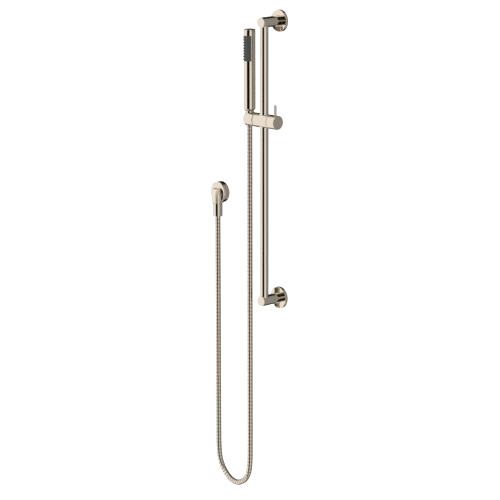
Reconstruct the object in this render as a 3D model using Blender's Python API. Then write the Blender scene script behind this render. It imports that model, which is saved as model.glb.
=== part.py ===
"""Slide-rail handheld shower set: rail on two wall brackets, sliding holder, stick handset, metal hose, wall elbow.

The wall is the plane Y = 0, the set stands out towards -Y, X runs to the right along the wall and Z is up.
The origin is the centre of the upper wall plate's back. Sizes are in millimetres and MM turns them into metres.
"""

import math

import bmesh
import bpy
from mathutils import Vector

MM = 0.001
GAP = 0.3  # between faces that touch, or that slide on each other
CHAMFER = 0.4  # on the sharp edges of the turned pieces

# rail and its two brackets
RAIL_SPAN = 700.0  # from one bracket's axis to the other's
RAIL_OFFSET = 56.3  # from the wall to the rail's axis
RAIL_R = 10.5
RAIL_WALL = 1.5
RAIL_DEPTH = 2.5  # how far the rail goes past the bracket's axis
RAIL_PLUG_LENGTH = 22.0
POST_R = 13.0
POST_NOSE = 12.6  # from the rail's axis to the post's front end
POST_SOLID = 18.3  # from the rail's axis back to the end of the post's hollow
FLANGE_R = 27.4
FLANGE_DEPTH = 8.0
FLANGE_WALL = 1.4
PLATE_R = 25.0
PLATE_DEPTH = 4.0
SPIGOT_R = 9.8
SPIGOT_END = 24.0  # from the wall
WALL_SCREW_R = 2.0
WALL_SCREW_HEAD_R = 3.6
WALL_SCREW_HEAD = 2.2
WALL_SCREW_OUT = POST_R + WALL_SCREW_HEAD_R + 3 * GAP  # from the bracket's axis, up and down
WALL_SCREW_BEHIND = 11.0  # how far it reaches behind the wall plate
GRUB_R = 2.5
GRUB_LENGTH = 4.0
GRUB_SINK = 0.5
POST_GRUB_OUT = 16.0  # from the wall
RAIL_SCREW_R = 2.0
RAIL_SCREW_HEAD_R = 3.6
RAIL_SCREW_HEAD = 3.0
RAIL_SCREW_REACH = 14.0  # beyond the end of the post's hollow

# slider: rail clamp in the middle, holder on the left, lock knob on the right
SLIDER_DROP = 243.9  # from the upper bracket's axis to the slider's axis
SLIDER_R = 17.6
CLAMP_LEFT = 25.6
CLAMP_RIGHT = 22.5
WASHER_THICK = 1.0
WASHER_R = 16.8
BUSH_WALL = 1.8
AXLE_R = 8.7
AXLE_LENGTH = 10.4
PIVOT_R = 2.0
PIVOT_HEAD_R = 4.1
PIVOT_HEAD = 1.8
HOLDER_END = 58.2  # from the rail's axis to the holder's open end
CRADLE_OUT = 51.4  # from the rail's axis to the cradle's axis
CRADLE_TOP_R = 10.9
CRADLE_BOTTOM_R = 9.85
KNOB_END = 48.3
SPINDLE_R = 4.0
SPINDLE_IN_KNOB = 10.4
SHOE_LENGTH = 5.0
LEVER_OUT = 38.0  # from the rail's axis to the lever
LEVER_R = 3.5
LEVER_TOP = 42.5  # above the slider's axis
LEVER_FOOT = 6.3
KNOB_GRUB_R = 2.0
KNOB_GRUB_OUT = 28.5

# handset and the hose's swivel end; heights are above the slider's axis
NUT_TOP = 20.2
NUT_BOTTOM = -18.1
NUT_TOP_R = 10.45
NUT_BOTTOM_R = 9.4
FERRULE_R = 6.0
FERRULE_BORE = 4.0
FERRULE_FLANGE_R = 8.2
FERRULE_FLANGE = 1.8
FLANGE_SEAT = 5.6
SEAL_THICK = 1.8
INLET_R = 8.33
HANDSET_BOTTOM = 21.2
HANDSET_LENGTH = 202.1
HANDSET_R = 14.5
HANDSET_WALL = 1.6
HANDSET_FLOOR = 4.0
FOOT_CHAMFER = 3.6
CAP_RIM = 3.0
CAP_CHAMFER = 1.2
CAP_DEPTH = 8.8
RING_THICK = 1.8  # the O-rings' own thickness
GROOVE_WIDTH = 2.4
GROOVE_DEPTH = 2.0
GROOVE_BELOW_RIM = 4.4
ADAPTER_LENGTH = 10.0
ADAPTER_GROOVE = 2.0  # from the adapter's lower end
ADAPTER_CUP = 5.0  # depth of the cup that takes the waterway tube
WATERWAY_R = 7.0
WATERWAY_WALL = 1.8
CHAMBER_WALL = 1.4
CHAMBER_BELOW = 7.0  # how far the chamber goes past the nozzle panel, down and up
CHAMBER_ABOVE = 4.0
PANEL_TOP_DROP = 15.7  # from the handset's top to the nozzle panel
PANEL_HEIGHT = 63.2
PANEL_HALF_ANGLE = math.radians(62)
PANEL_THICK = 2.8
PANEL_SINK = 0.15
CHAMBER_R = HANDSET_R - PANEL_SINK - PANEL_THICK - GAP  # the nozzle panel lies on the chamber
NUB_ROWS = 9
NUB_COLUMNS = 5
NUB_R = 1.5
NUB_HEIGHT = 2.6
NUB_MARGIN = 3.6  # from the panel's top and bottom to the first row
NUB_SPREAD = math.radians(44)  # from the middle to the outer columns

# wall elbow
ELBOW_LEFT = 209.2  # from the rail's axis
ELBOW_DROP = 456.4
PUCK_R = 27.2
PUCK_DEPTH = 17.0
PUCK_ROUND = 2.5
TONGUE_HALF = 8.0
TONGUE_OUT = 31.0  # from the wall
TONGUE_RISE = 12.0  # above the puck's axis
TONGUE_BEND = 16.0
OUTLET_OUT = 16.0
OUTLET_R = 12.0
OUTLET_TOP = 2.0  # below the puck's axis
TONGUE_ROOT = 2.0  # from the wall
TONGUE_FOOT = 4.0  # chamfer at the tongue's front foot
WALL_SEAL_R = 20.0
WALL_SEAL_HALF = 1.5
WALL_SEAL_DEPTH = 1.6
OUTLET_BOTTOM = 27.6  # below the puck's axis
THREAD_R = 10.3
THREAD_BOTTOM = 43.6
WATER_R = 7.6
NIPPLE_R = 10.4
NIPPLE_IN = 9.0
NIPPLE_BEHIND = 14.0
NIPPLE_BORE = 6.5
WALL_NUT_R = 12.0
WALL_NUT_TOP = 28.9
WALL_NUT_BOTTOM = 61.6
WALL_FLANGE_R = 9.8

# hose
HOSE_R = 7.0
HOSE_STEP = 2.5 * 2 * HOSE_R  # between the tube's points
HOSE_BEND_LENGTH = 150.0  # the stretch under the holder, which follows its tilt
# the route, as (share of the way from the elbow's outlet to the cradle, height); its two ends are added to it
HOSE_LEFT_ROUTE = [
    (0.0, -560), (0.0, -640), (0.0, -740), (0.0, -840), (0.0, -940), (0.0, -1030), (0.001, -1090),
    (0.008, -1130), (0.04, -1158), (0.12, -1179), (0.24, -1193.5), (0.37, -1202.4), (0.48, -1205), (0.5, -1205),
]
HOSE_RIGHT_ROUTE = [
    (0.5, -1205), (0.52, -1205), (0.63, -1202.4), (0.76, -1193.5), (0.88, -1179), (0.96, -1158), (0.992, -1130),
    (0.999, -1090), (1.0, -1030), (1.0, -940), (1.0, -840), (1.0, -740), (1.0, -640), (1.0, -540), (1.0, -450),
]

FINISHES = {
    "champagne": ((0.78, 0.70, 0.60), 0.16, 1.0),
    "steel": ((0.62, 0.62, 0.63), 0.35, 1.0),
    "brass": ((0.72, 0.56, 0.30), 0.35, 1.0),
    "white_plastic": ((0.82, 0.82, 0.80), 0.45, 0.0),
    "grey_rubber": ((0.09, 0.09, 0.085), 0.55, 0.0),
    "black_rubber": ((0.03, 0.03, 0.03), 0.6, 0.0),
}

TO_RIGHT = (0, math.radians(90), 0)  # turns local +Z to +X
TO_FRONT = (math.radians(90), 0, 0)  # turns local +Z to -Y
UPRIGHT = (0, 0, 0)

SLIDER_AT = (0, -RAIL_OFFSET, -SLIDER_DROP)
CRADLE_AT = (-CRADLE_OUT, -RAIL_OFFSET, -SLIDER_DROP)
ELBOW_AT = (-ELBOW_LEFT, 0, -ELBOW_DROP)
OUTLET_AT = (-ELBOW_LEFT, -OUTLET_OUT, -ELBOW_DROP)


def clear_scene():
    for thing in list(bpy.data.objects):
        bpy.data.objects.remove(thing, do_unlink=True)


def finish_material(finish):
    """The Principled material of a finish, with one copy for each piece."""
    colour, roughness, metallic = FINISHES[finish]
    made = bpy.data.materials.new(finish)
    made.use_nodes = True
    shader = made.node_tree.nodes["Principled BSDF"]
    shader.inputs["Base Color"].default_value = (*colour, 1)
    shader.inputs["Roughness"].default_value = roughness
    shader.inputs["Metallic"].default_value = metallic
    return made


def pivot(name, at):
    """An empty on a joint's axis, which carries the pieces that move about it."""
    empty = bpy.data.objects.new(name, None)
    empty.location = Vector(at) * MM
    bpy.context.scene.collection.objects.link(empty)
    return empty


def add_object(name, mesh, finish, at, turn=UPRIGHT, carrier=None):
    """Links the mesh as an object whose own origin is at the given point. With no finish it is a cutter."""
    thing = bpy.data.objects.new(name, mesh)
    thing.location = Vector(at) * MM
    thing.rotation_euler = turn
    bpy.context.scene.collection.objects.link(thing)
    if carrier:
        thing.parent = carrier
        thing.location -= carrier.location
    if finish is None:
        thing.hide_render = True
        thing.display_type = "WIRE"
        return thing
    thing.data.materials.append(finish_material(finish))
    thing.data.shade_smooth()
    thing.data.set_sharp_from_angle(angle=math.radians(35))
    return thing


def mesh_from(name, grown):
    """Turns a bmesh in millimetres into a mesh in metres with its faces pointing out."""
    bmesh.ops.remove_doubles(grown, verts=grown.verts, dist=1e-4)
    bmesh.ops.recalc_face_normals(grown, faces=grown.faces)
    bmesh.ops.scale(grown, vec=(MM, MM, MM), verts=grown.verts)
    mesh = bpy.data.meshes.new(name)
    grown.to_mesh(mesh)
    grown.free()
    return mesh


def turned(name, outline, finish, at, turn=UPRIGHT, carrier=None, sides=16):
    """A lathe piece: the outline of (radius, height) points goes once round the local Z axis.

    An outline that starts and ends on the axis makes a full body, and any other is closed into a ring.
    """
    grown = bmesh.new()
    points = [grown.verts.new((radius, 0, height)) for radius, height in outline]
    on_axis = outline[0][0] == 0 and outline[-1][0] == 0
    pairs = list(zip(points, points[1:])) if on_axis else list(zip(points, points[1:] + points[:1]))
    edges = [grown.edges.new(pair) for pair in pairs]
    bmesh.ops.spin(
        grown, geom=points + edges, cent=(0, 0, 0), axis=(0, 0, 1), dvec=(0, 0, 0),
        angle=2 * math.pi, steps=sides, use_merge=True,
    )
    return add_object(name, mesh_from(name, grown), finish, at, turn, carrier)


def rod_outline(radius, low, high, chamfer=0.0):
    """A plain cylinder from one height to another, with its ends chamfered."""
    if not chamfer:
        return [(0, low), (radius, low), (radius, high), (0, high)]
    return [
        (0, low), (radius - chamfer, low), (radius, low + chamfer),
        (radius, high - chamfer), (radius - chamfer, high), (0, high),
    ]


def tube_outline(inner, outer, low, high):
    return [(inner, low), (outer, low), (outer, high), (inner, high)]


def o_ring_outline(middle, thick, height, points=5):
    """A round section of the given thickness, set at a radius and a height."""
    angles = [2 * math.pi * i / points for i in range(points)]
    return [(middle + thick / 2 * math.cos(a), height + thick / 2 * math.sin(a)) for a in angles]


def prism(name, outline, low, high, finish, at, turn=UPRIGHT, carrier=None):
    """A flat outline of (x, y) points raised along the local Z axis."""
    grown = bmesh.new()
    face = grown.faces.new([grown.verts.new((x, y, low)) for x, y in outline])
    raised = bmesh.ops.extrude_face_region(grown, geom=[face])
    tops = [v for v in raised["geom"] if isinstance(v, bmesh.types.BMVert)]
    bmesh.ops.translate(grown, vec=(0, 0, high - low), verts=tops)
    return add_object(name, mesh_from(name, grown), finish, at, turn, carrier)


def cylinder_cutter(name, radius, low, high, at, turn=UPRIGHT, sides=16):
    return turned(name, rod_outline(radius, low, high), None, at, turn, sides=sides)


def change_by(thing, cutter, operation="DIFFERENCE"):
    boolean = thing.modifiers.new(cutter.name, "BOOLEAN")
    boolean.operation = operation
    boolean.object = cutter
    boolean.solver = "EXACT"


def sector_outline(inner, outer, half_angle, steps=10):
    """A ring's sector that faces -Y, as one closed outline."""
    angles = [half_angle * (2 * i / steps - 1) - math.pi / 2 for i in range(steps + 1)]
    outside = [(outer * math.cos(a), outer * math.sin(a)) for a in angles]
    inside = [(inner * math.cos(a), inner * math.sin(a)) for a in reversed(angles)]
    return outside + inside


def hex_socket(name, size, low, high, at, turn):
    return cylinder_cutter(name, size, low, high, at, turn, sides=6)


def wall_bracket(side, height, towards_rail):
    """One bracket: towards_rail is -1 where the rail hangs below its axis, and 1 where it stands above."""
    at = (0, 0, height)
    hollow_end = RAIL_OFFSET - POST_SOLID

    plate = turned(
        side + "_wall_plate",
        [
            (0, 0), (PLATE_R, 0), (PLATE_R, PLATE_DEPTH), (SPIGOT_R, PLATE_DEPTH),
            (SPIGOT_R, SPIGOT_END - CHAMFER), (SPIGOT_R - CHAMFER, SPIGOT_END), (0, SPIGOT_END),
        ],
        "steel", at, TO_FRONT,
    )
    for label, way in (("top", 1), ("bottom", -1)):
        screw_at = (0, 0, height + way * WALL_SCREW_OUT)
        hole = cylinder_cutter(
            f"cut_{side}_{label}_screw", WALL_SCREW_R + GAP, -1, PLATE_DEPTH + 1, screw_at, TO_FRONT, 12
        )
        change_by(plate, hole)
        head_base = PLATE_DEPTH + GAP
        screw = turned(
            f"{side}_wall_screw_{label}",
            [
                (0, -WALL_SCREW_BEHIND), (WALL_SCREW_R, -WALL_SCREW_BEHIND + 2 * WALL_SCREW_R),
                (WALL_SCREW_R, head_base), (WALL_SCREW_HEAD_R, head_base),
                (WALL_SCREW_HEAD_R, head_base + WALL_SCREW_HEAD / 2),
                (WALL_SCREW_HEAD_R * 0.6, head_base + WALL_SCREW_HEAD - CHAMFER / 2),
                (0, head_base + WALL_SCREW_HEAD - CHAMFER / 2),
            ],
            "steel", screw_at, TO_FRONT, sides=12,
        )
        drive = hex_socket(
            f"cut_{side}_{label}_drive", WALL_SCREW_HEAD_R * 0.4, head_base + WALL_SCREW_HEAD / 2,
            head_base + 2 * WALL_SCREW_HEAD, screw_at, TO_FRONT,
        )
        change_by(screw, drive)

    turned(
        side + "_flange_cover",
        [
            (FLANGE_R - FLANGE_WALL, 0), (FLANGE_R, 0), (FLANGE_R, FLANGE_DEPTH - CHAMFER),
            (FLANGE_R - CHAMFER, FLANGE_DEPTH), (POST_R + GAP, FLANGE_DEPTH),
            (POST_R + GAP, FLANGE_DEPTH - FLANGE_WALL), (FLANGE_R - FLANGE_WALL, FLANGE_DEPTH - FLANGE_WALL),
        ],
        "champagne", at, TO_FRONT, sides=28,
    )

    nose = RAIL_OFFSET + POST_NOSE
    hollow = SPIGOT_R + GAP
    post = turned(
        side + "_post",
        [
            (0, hollow_end), (hollow, hollow_end), (hollow, PLATE_DEPTH + GAP), (POST_R, PLATE_DEPTH + GAP),
            (POST_R, nose - CHAMFER), (POST_R - CHAMFER, nose), (0, nose),
        ],
        "champagne", at, TO_FRONT, sides=24,
    )
    rail_at = (0, -RAIL_OFFSET, height)
    bore_far = -towards_rail * (RAIL_DEPTH + GAP)
    bore_mouth = towards_rail * (POST_R + 1)
    rail_bore = cylinder_cutter(
        f"cut_{side}_rail_bore", RAIL_R + GAP, min(bore_far, bore_mouth), max(bore_far, bore_mouth), rail_at,
        sides=22,
    )
    change_by(post, rail_bore)

    screw_tip = hollow_end + RAIL_SCREW_REACH
    screw_path = cylinder_cutter(
        f"cut_{side}_rail_screw", RAIL_SCREW_R + GAP, hollow_end - 1, screw_tip + GAP, at, TO_FRONT, 12
    )
    change_by(post, screw_path)
    rail_screw = turned(
        side + "_rail_screw",
        [
            (0, hollow_end - GAP - RAIL_SCREW_HEAD), (RAIL_SCREW_HEAD_R, hollow_end - GAP - RAIL_SCREW_HEAD),
            (RAIL_SCREW_HEAD_R, hollow_end - GAP), (RAIL_SCREW_R, hollow_end - GAP),
            (RAIL_SCREW_R, screw_tip - 1), (RAIL_SCREW_R - 1, screw_tip), (0, screw_tip),
        ],
        "steel", at, TO_FRONT, sides=12,
    )
    change_by(rail_screw, hex_socket(
        f"cut_{side}_rail_screw_drive", RAIL_SCREW_HEAD_R * 0.45, hollow_end - 2 * RAIL_SCREW_HEAD,
        hollow_end - RAIL_SCREW_HEAD / 2, at, TO_FRONT,
    ))

    plug_end = -towards_rail * RAIL_DEPTH
    plug_inside = plug_end + towards_rail * RAIL_PLUG_LENGTH
    plug = turned(
        side + "_rail_plug",
        rod_outline(
            RAIL_R - RAIL_WALL - GAP, min(plug_end, plug_inside), max(plug_end, plug_inside), CHAMFER
        ),
        "white_plastic", rail_at, sides=18,
    )
    change_by(plug, screw_path)

    grub_at = (0, -POST_GRUB_OUT, height)
    grub_low = -POST_R + GRUB_SINK
    grub_hole = cylinder_cutter(
        f"cut_{side}_grub", GRUB_R + GAP, -POST_R - 1, grub_low + GRUB_LENGTH + GAP, grub_at, sides=12
    )
    change_by(post, grub_hole)
    change_by(plate, grub_hole)
    grub = turned(
        side + "_post_grub_screw",
        rod_outline(GRUB_R, grub_low, grub_low + GRUB_LENGTH, CHAMFER), "steel", grub_at, sides=12,
    )
    change_by(grub, hex_socket(
        f"cut_{side}_grub_drive", GRUB_R / 2, grub_low - 1, grub_low + GRUB_LENGTH / 2, grub_at, UPRIGHT
    ))
    return screw_path


def rail(screw_paths):
    tube = turned(
        "rail_tube",
        tube_outline(RAIL_R - RAIL_WALL, RAIL_R, -RAIL_SPAN - RAIL_DEPTH, RAIL_DEPTH),
        "champagne", (0, -RAIL_OFFSET, 0), sides=22,
    )
    for path in screw_paths:
        change_by(tube, path)


def rail_clamp(carriage):
    """The slider's middle: its body with the holder's axle, the rail bush and the brake shoe."""
    body = turned(
        "slider_body",
        [
            (0, -CLAMP_LEFT - AXLE_LENGTH), (AXLE_R, -CLAMP_LEFT - AXLE_LENGTH), (AXLE_R, -CLAMP_LEFT),
            (SLIDER_R - CHAMFER, -CLAMP_LEFT), (SLIDER_R, -CLAMP_LEFT + CHAMFER),
            (SLIDER_R, CLAMP_RIGHT - CHAMFER), (SLIDER_R - CHAMFER, CLAMP_RIGHT), (0, CLAMP_RIGHT),
        ],
        "champagne", SLIDER_AT, TO_RIGHT, carriage, sides=24,
    )
    bush_inner = RAIL_R + GAP
    bush_outer = bush_inner + BUSH_WALL
    tall = SLIDER_R + 1
    change_by(body, cylinder_cutter("cut_clamp_bore", bush_outer + GAP, -tall, tall, SLIDER_AT, sides=22))
    spindle_hole = cylinder_cutter(
        "cut_spindle_hole", SPINDLE_R + GAP, 1, CLAMP_RIGHT + 1, SLIDER_AT, TO_RIGHT, 24
    )
    change_by(body, spindle_hole)
    change_by(body, cylinder_cutter(
        "cut_pivot_thread", PIVOT_R + GAP, -CLAMP_LEFT - AXLE_LENGTH - 1, -CLAMP_LEFT + 1, SLIDER_AT, TO_RIGHT, 12
    ))

    bush = turned(
        "rail_bush", tube_outline(bush_inner, bush_outer, -SLIDER_R, SLIDER_R), "white_plastic",
        SLIDER_AT, UPRIGHT, carriage, sides=22,
    )
    slider_room = cylinder_cutter(
        "keep_bush_in_slider", SLIDER_R - GAP, -2 * SLIDER_R, 2 * SLIDER_R, SLIDER_AT, TO_RIGHT, 32
    )
    change_by(bush, slider_room, "INTERSECT")
    change_by(bush, spindle_hole)

    shoe_end = RAIL_R + GAP + SHOE_LENGTH
    shoe = turned(
        "brake_shoe", rod_outline(SPINDLE_R, RAIL_R - 2, shoe_end), "brass",
        SLIDER_AT, TO_RIGHT, carriage, sides=16,
    )
    change_by(shoe, cylinder_cutter("cut_shoe_face", RAIL_R + GAP, -tall, tall, SLIDER_AT, sides=22))

    turned(
        "friction_washer",
        tube_outline(AXLE_R + GAP, WASHER_R, -CLAMP_LEFT - GAP - WASHER_THICK, -CLAMP_LEFT - GAP),
        "black_rubber", SLIDER_AT, TO_RIGHT, carriage, sides=22,
    )
    return shoe_end


def lock_knob(turner, shoe_end):
    """The knob with its spindle, its lever and the grub screw that holds the spindle."""
    start = CLAMP_RIGHT + 2 * GAP
    bore_end = start + SPINDLE_IN_KNOB + GAP
    knob = turned(
        "lock_knob",
        [
            (0, bore_end), (SPINDLE_R + GAP, bore_end), (SPINDLE_R + GAP, start), (SLIDER_R - CHAMFER, start),
            (SLIDER_R, start + CHAMFER), (SLIDER_R, KNOB_END - CHAMFER), (SLIDER_R - CHAMFER, KNOB_END),
            (0, KNOB_END),
        ],
        "champagne", SLIDER_AT, TO_RIGHT, turner, sides=24,
    )
    lever_at = (LEVER_OUT, -RAIL_OFFSET, -SLIDER_DROP)
    change_by(knob, cylinder_cutter(
        "cut_lever_hole", LEVER_R + GAP, LEVER_FOOT - GAP, SLIDER_R + 1, lever_at, sides=16
    ))
    grub_at = (KNOB_GRUB_OUT, -RAIL_OFFSET, -SLIDER_DROP)
    grub_low = -SLIDER_R + 2 * GRUB_SINK
    grub_top = -SPINDLE_R - GAP
    change_by(knob, cylinder_cutter(
        "cut_knob_grub", KNOB_GRUB_R + GAP, -SLIDER_R - 1, -SPINDLE_R, grub_at, sides=12
    ))
    turned(
        "lock_spindle", rod_outline(SPINDLE_R, shoe_end + GAP, start + SPINDLE_IN_KNOB, CHAMFER), "steel",
        SLIDER_AT, TO_RIGHT, turner, sides=16,
    )
    turned(
        "lock_lever", rod_outline(LEVER_R, LEVER_FOOT, LEVER_TOP, CHAMFER), "champagne",
        lever_at, UPRIGHT, turner, sides=16,
    )
    grub = turned(
        "knob_grub_screw", rod_outline(KNOB_GRUB_R, grub_low, grub_top, CHAMFER), "steel",
        grub_at, UPRIGHT, turner, sides=16,
    )
    change_by(grub, hex_socket(
        "cut_knob_grub_drive", KNOB_GRUB_R / 2, grub_low - 1, grub_low + 3, grub_at, UPRIGHT
    ))


def handset_holder(tilter, carriage):
    """The cradle that the hose's cone nut sits in, and the screw that keeps it on the slider's axle."""
    start = -CLAMP_LEFT - 2 * GAP - WASHER_THICK
    axle_end = -CLAMP_LEFT - AXLE_LENGTH
    bore_end = axle_end - GAP
    cradle = turned(
        "holder_cradle",
        [
            (0, bore_end), (AXLE_R + GAP, bore_end), (AXLE_R + GAP, start), (SLIDER_R - CHAMFER, start),
            (SLIDER_R, start - CHAMFER), (SLIDER_R, -HOLDER_END + CHAMFER),
            (SLIDER_R - CHAMFER, -HOLDER_END), (0, -HOLDER_END),
        ],
        "champagne", SLIDER_AT, TO_RIGHT, tilter, sides=24,
    )
    taper = (CRADLE_TOP_R - CRADLE_BOTTOM_R) / (2 * SLIDER_R)
    tall = SLIDER_R + 1
    change_by(cradle, turned(
        "cut_cradle", [
            (0, -tall), (CRADLE_BOTTOM_R - taper, -tall), (CRADLE_TOP_R + taper, tall), (0, tall)
        ],
        None, CRADLE_AT, sides=22,
    ))
    wall_face = -CRADLE_OUT + (CRADLE_TOP_R + CRADLE_BOTTOM_R) / 2
    head_face = wall_face + PIVOT_HEAD
    change_by(cradle, cylinder_cutter(
        "cut_pivot_screw", PIVOT_R + GAP, wall_face - 1, bore_end + 1, SLIDER_AT, TO_RIGHT, 12
    ))
    change_by(cradle, cylinder_cutter(
        "cut_pivot_head", PIVOT_HEAD_R + GAP, wall_face - 2, head_face + GAP, SLIDER_AT, TO_RIGHT, 24
    ))
    screw = turned(
        "holder_pivot_screw",
        [
            (0, wall_face), (PIVOT_HEAD_R, wall_face), (PIVOT_HEAD_R, head_face), (PIVOT_R, head_face),
            (PIVOT_R, -CLAMP_LEFT - 1), (0, -CLAMP_LEFT - 1),
        ],
        "steel", SLIDER_AT, TO_RIGHT, carriage, sides=16,
    )
    change_by(screw, hex_socket(
        "cut_pivot_drive", PIVOT_R * 0.8, wall_face - 1, wall_face + PIVOT_HEAD / 2, SLIDER_AT, TO_RIGHT
    ))


def hose_swivel(lifter):
    """The ferrule on the hose's upper end and the seal on top of it, on which the cone nut turns."""
    flange_top = FLANGE_SEAT + FERRULE_FLANGE
    turned(
        "handset_ferrule",
        [
            (FERRULE_BORE, NUT_BOTTOM), (FERRULE_R, NUT_BOTTOM), (FERRULE_R, FLANGE_SEAT),
            (FERRULE_FLANGE_R, FLANGE_SEAT), (FERRULE_FLANGE_R, flange_top), (FERRULE_BORE, flange_top),
        ],
        "brass", CRADLE_AT, UPRIGHT, lifter, sides=18,
    )
    seal_low = flange_top + GAP
    turned(
        "ferrule_seal", tube_outline(FERRULE_BORE + GAP, FERRULE_FLANGE_R, seal_low, seal_low + SEAL_THICK),
        "black_rubber", CRADLE_AT, UPRIGHT, lifter, sides=18,
    )
    return seal_low + SEAL_THICK


def handset(spinner, seal_top):
    """Everything that turns with the handset on the hose's swivel end."""
    nut_bore = INLET_R + GAP
    turned(
        "cone_nut",
        [
            (FERRULE_R + GAP, NUT_BOTTOM), (NUT_BOTTOM_R - CHAMFER, NUT_BOTTOM),
            (NUT_BOTTOM_R, NUT_BOTTOM + CHAMFER), (NUT_TOP_R, NUT_TOP - CHAMFER),
            (NUT_TOP_R - CHAMFER, NUT_TOP), (nut_bore, NUT_TOP), (nut_bore, FLANGE_SEAT - GAP),
            (FERRULE_R + GAP, FLANGE_SEAT - GAP),
        ],
        "champagne", CRADLE_AT, UPRIGHT, spinner, sides=22,
    )

    top = HANDSET_BOTTOM + HANDSET_LENGTH
    inner = HANDSET_R - HANDSET_WALL
    floor_top = HANDSET_BOTTOM + HANDSET_FLOOR
    mouth = INLET_R + GAP
    tube = turned(
        "handset_tube",
        [
            (mouth, HANDSET_BOTTOM), (HANDSET_R - FOOT_CHAMFER, HANDSET_BOTTOM),
            (HANDSET_R, HANDSET_BOTTOM + FOOT_CHAMFER), (HANDSET_R, top - CAP_RIM - GAP),
            (inner, top - CAP_RIM - GAP), (inner, floor_top), (mouth, floor_top),
        ],
        "champagne", CRADLE_AT, UPRIGHT, spinner, sides=28,
    )
    panel_top = top - PANEL_TOP_DROP
    panel_low = panel_top - PANEL_HEIGHT
    window = prism(
        "cut_panel_window", sector_outline(inner - 2, HANDSET_R + 2, PANEL_HALF_ANGLE),
        panel_low, panel_top, None, CRADLE_AT,
    )
    change_by(tube, window)

    fit = inner - GAP
    ring_groove = fit - GROOVE_DEPTH
    ring_middle = ring_groove + GAP / 2 + RING_THICK / 2
    cap_low = top - CAP_DEPTH
    groove_low = top - CAP_RIM - GROOVE_BELOW_RIM
    groove_high = groove_low + GROOVE_WIDTH
    turned(
        "handset_cap",
        [
            (0, top), (HANDSET_R - CAP_CHAMFER, top), (HANDSET_R, top - CAP_CHAMFER),
            (HANDSET_R, top - CAP_RIM), (fit, top - CAP_RIM), (fit, groove_high), (ring_groove, groove_high),
            (ring_groove, groove_low), (fit, groove_low), (fit, cap_low), (0, cap_low),
        ],
        "champagne", CRADLE_AT, UPRIGHT, spinner, sides=28,
    )
    turned(
        "cap_o_ring", o_ring_outline(ring_middle, RING_THICK, groove_low + GROOVE_WIDTH / 2), "black_rubber",
        CRADLE_AT, UPRIGHT, spinner, sides=28,
    )

    adapter_low = floor_top + GAP
    adapter_top = adapter_low + ADAPTER_LENGTH
    adapter_groove = adapter_low + ADAPTER_GROOVE
    adapter_groove_top = adapter_groove + GROOVE_WIDTH
    cup = adapter_top - ADAPTER_CUP
    turned(
        "inlet_adapter",
        [
            (FERRULE_BORE + GAP, seal_top + GAP), (INLET_R - CHAMFER, seal_top + GAP),
            (INLET_R, seal_top + GAP + CHAMFER), (INLET_R, adapter_low), (fit, adapter_low),
            (fit, adapter_groove), (ring_groove, adapter_groove), (ring_groove, adapter_groove_top),
            (fit, adapter_groove_top), (fit, adapter_top), (WATERWAY_R + GAP, adapter_top),
            (WATERWAY_R + GAP, cup), (FERRULE_BORE + GAP, cup),
        ],
        "brass", CRADLE_AT, UPRIGHT, spinner, sides=20,
    )
    turned(
        "adapter_o_ring", o_ring_outline(ring_middle, RING_THICK, adapter_groove + GROOVE_WIDTH / 2),
        "black_rubber", CRADLE_AT, UPRIGHT, spinner, sides=20,
    )

    chamber_low = panel_low - CHAMBER_BELOW
    chamber_top = panel_top + CHAMBER_ABOVE
    waterway_hole = WATERWAY_R + GAP
    chamber_inner = CHAMBER_R - CHAMBER_WALL
    chamber = turned(
        "spray_chamber",
        [
            (0, chamber_top), (CHAMBER_R, chamber_top), (CHAMBER_R, chamber_low), (waterway_hole, chamber_low),
            (waterway_hole, chamber_low + CHAMBER_WALL), (chamber_inner, chamber_low + CHAMBER_WALL),
            (chamber_inner, chamber_top - CHAMBER_WALL), (0, chamber_top - CHAMBER_WALL),
        ],
        "white_plastic", CRADLE_AT, UPRIGHT, spinner, sides=28,
    )
    change_by(chamber, prism(
        "cut_chamber_window", sector_outline(2, CHAMBER_R + 2, PANEL_HALF_ANGLE * 0.8),
        panel_low + 2, panel_top - 2, None, CRADLE_AT,
    ))
    turned(
        "waterway_tube",
        tube_outline(WATERWAY_R - WATERWAY_WALL, WATERWAY_R, cup + GAP, chamber_low + 3 * CHAMBER_WALL),
        "white_plastic", CRADLE_AT, UPRIGHT, spinner, sides=16,
    )
    nozzle_panel(spinner, panel_low + GAP, panel_top - GAP)


def nozzle_panel(spinner, low, high):
    """The rubber spray face: a curved plate with rows of nozzle nubs that stand out of it."""
    outer = HANDSET_R - PANEL_SINK
    side_gap = GAP / outer
    panel = prism(
        "nozzle_panel",
        sector_outline(outer - PANEL_THICK, outer, PANEL_HALF_ANGLE - side_gap),
        low, high, "grey_rubber", CRADLE_AT, UPRIGHT, spinner,
    )
    grown = bmesh.new()
    row_step = (high - low - 2 * NUB_MARGIN) / (NUB_ROWS - 1)
    for row in range(NUB_ROWS):
        for column in range(NUB_COLUMNS):
            angle = NUB_SPREAD * (2 * column / (NUB_COLUMNS - 1) - 1)
            made = bmesh.ops.create_cone(
                grown, cap_ends=True, segments=4, radius1=NUB_R, radius2=NUB_R * 0.7, depth=NUB_HEIGHT + 1
            )
            bmesh.ops.translate(grown, verts=made["verts"], vec=(0, 0, outer + (NUB_HEIGHT - 1) / 2))
            turn_out = Vector((0, 0, 1)).rotation_difference(Vector((math.sin(angle), -math.cos(angle), 0)))
            bmesh.ops.rotate(grown, verts=made["verts"], cent=(0, 0, 0), matrix=turn_out.to_matrix())
            height = low + NUB_MARGIN + row * row_step
            bmesh.ops.translate(grown, verts=made["verts"], vec=(0, 0, height))
    nubs = add_object("add_nubs", mesh_from("add_nubs", grown), None, CRADLE_AT)
    change_by(panel, nubs, "UNION")


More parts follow.
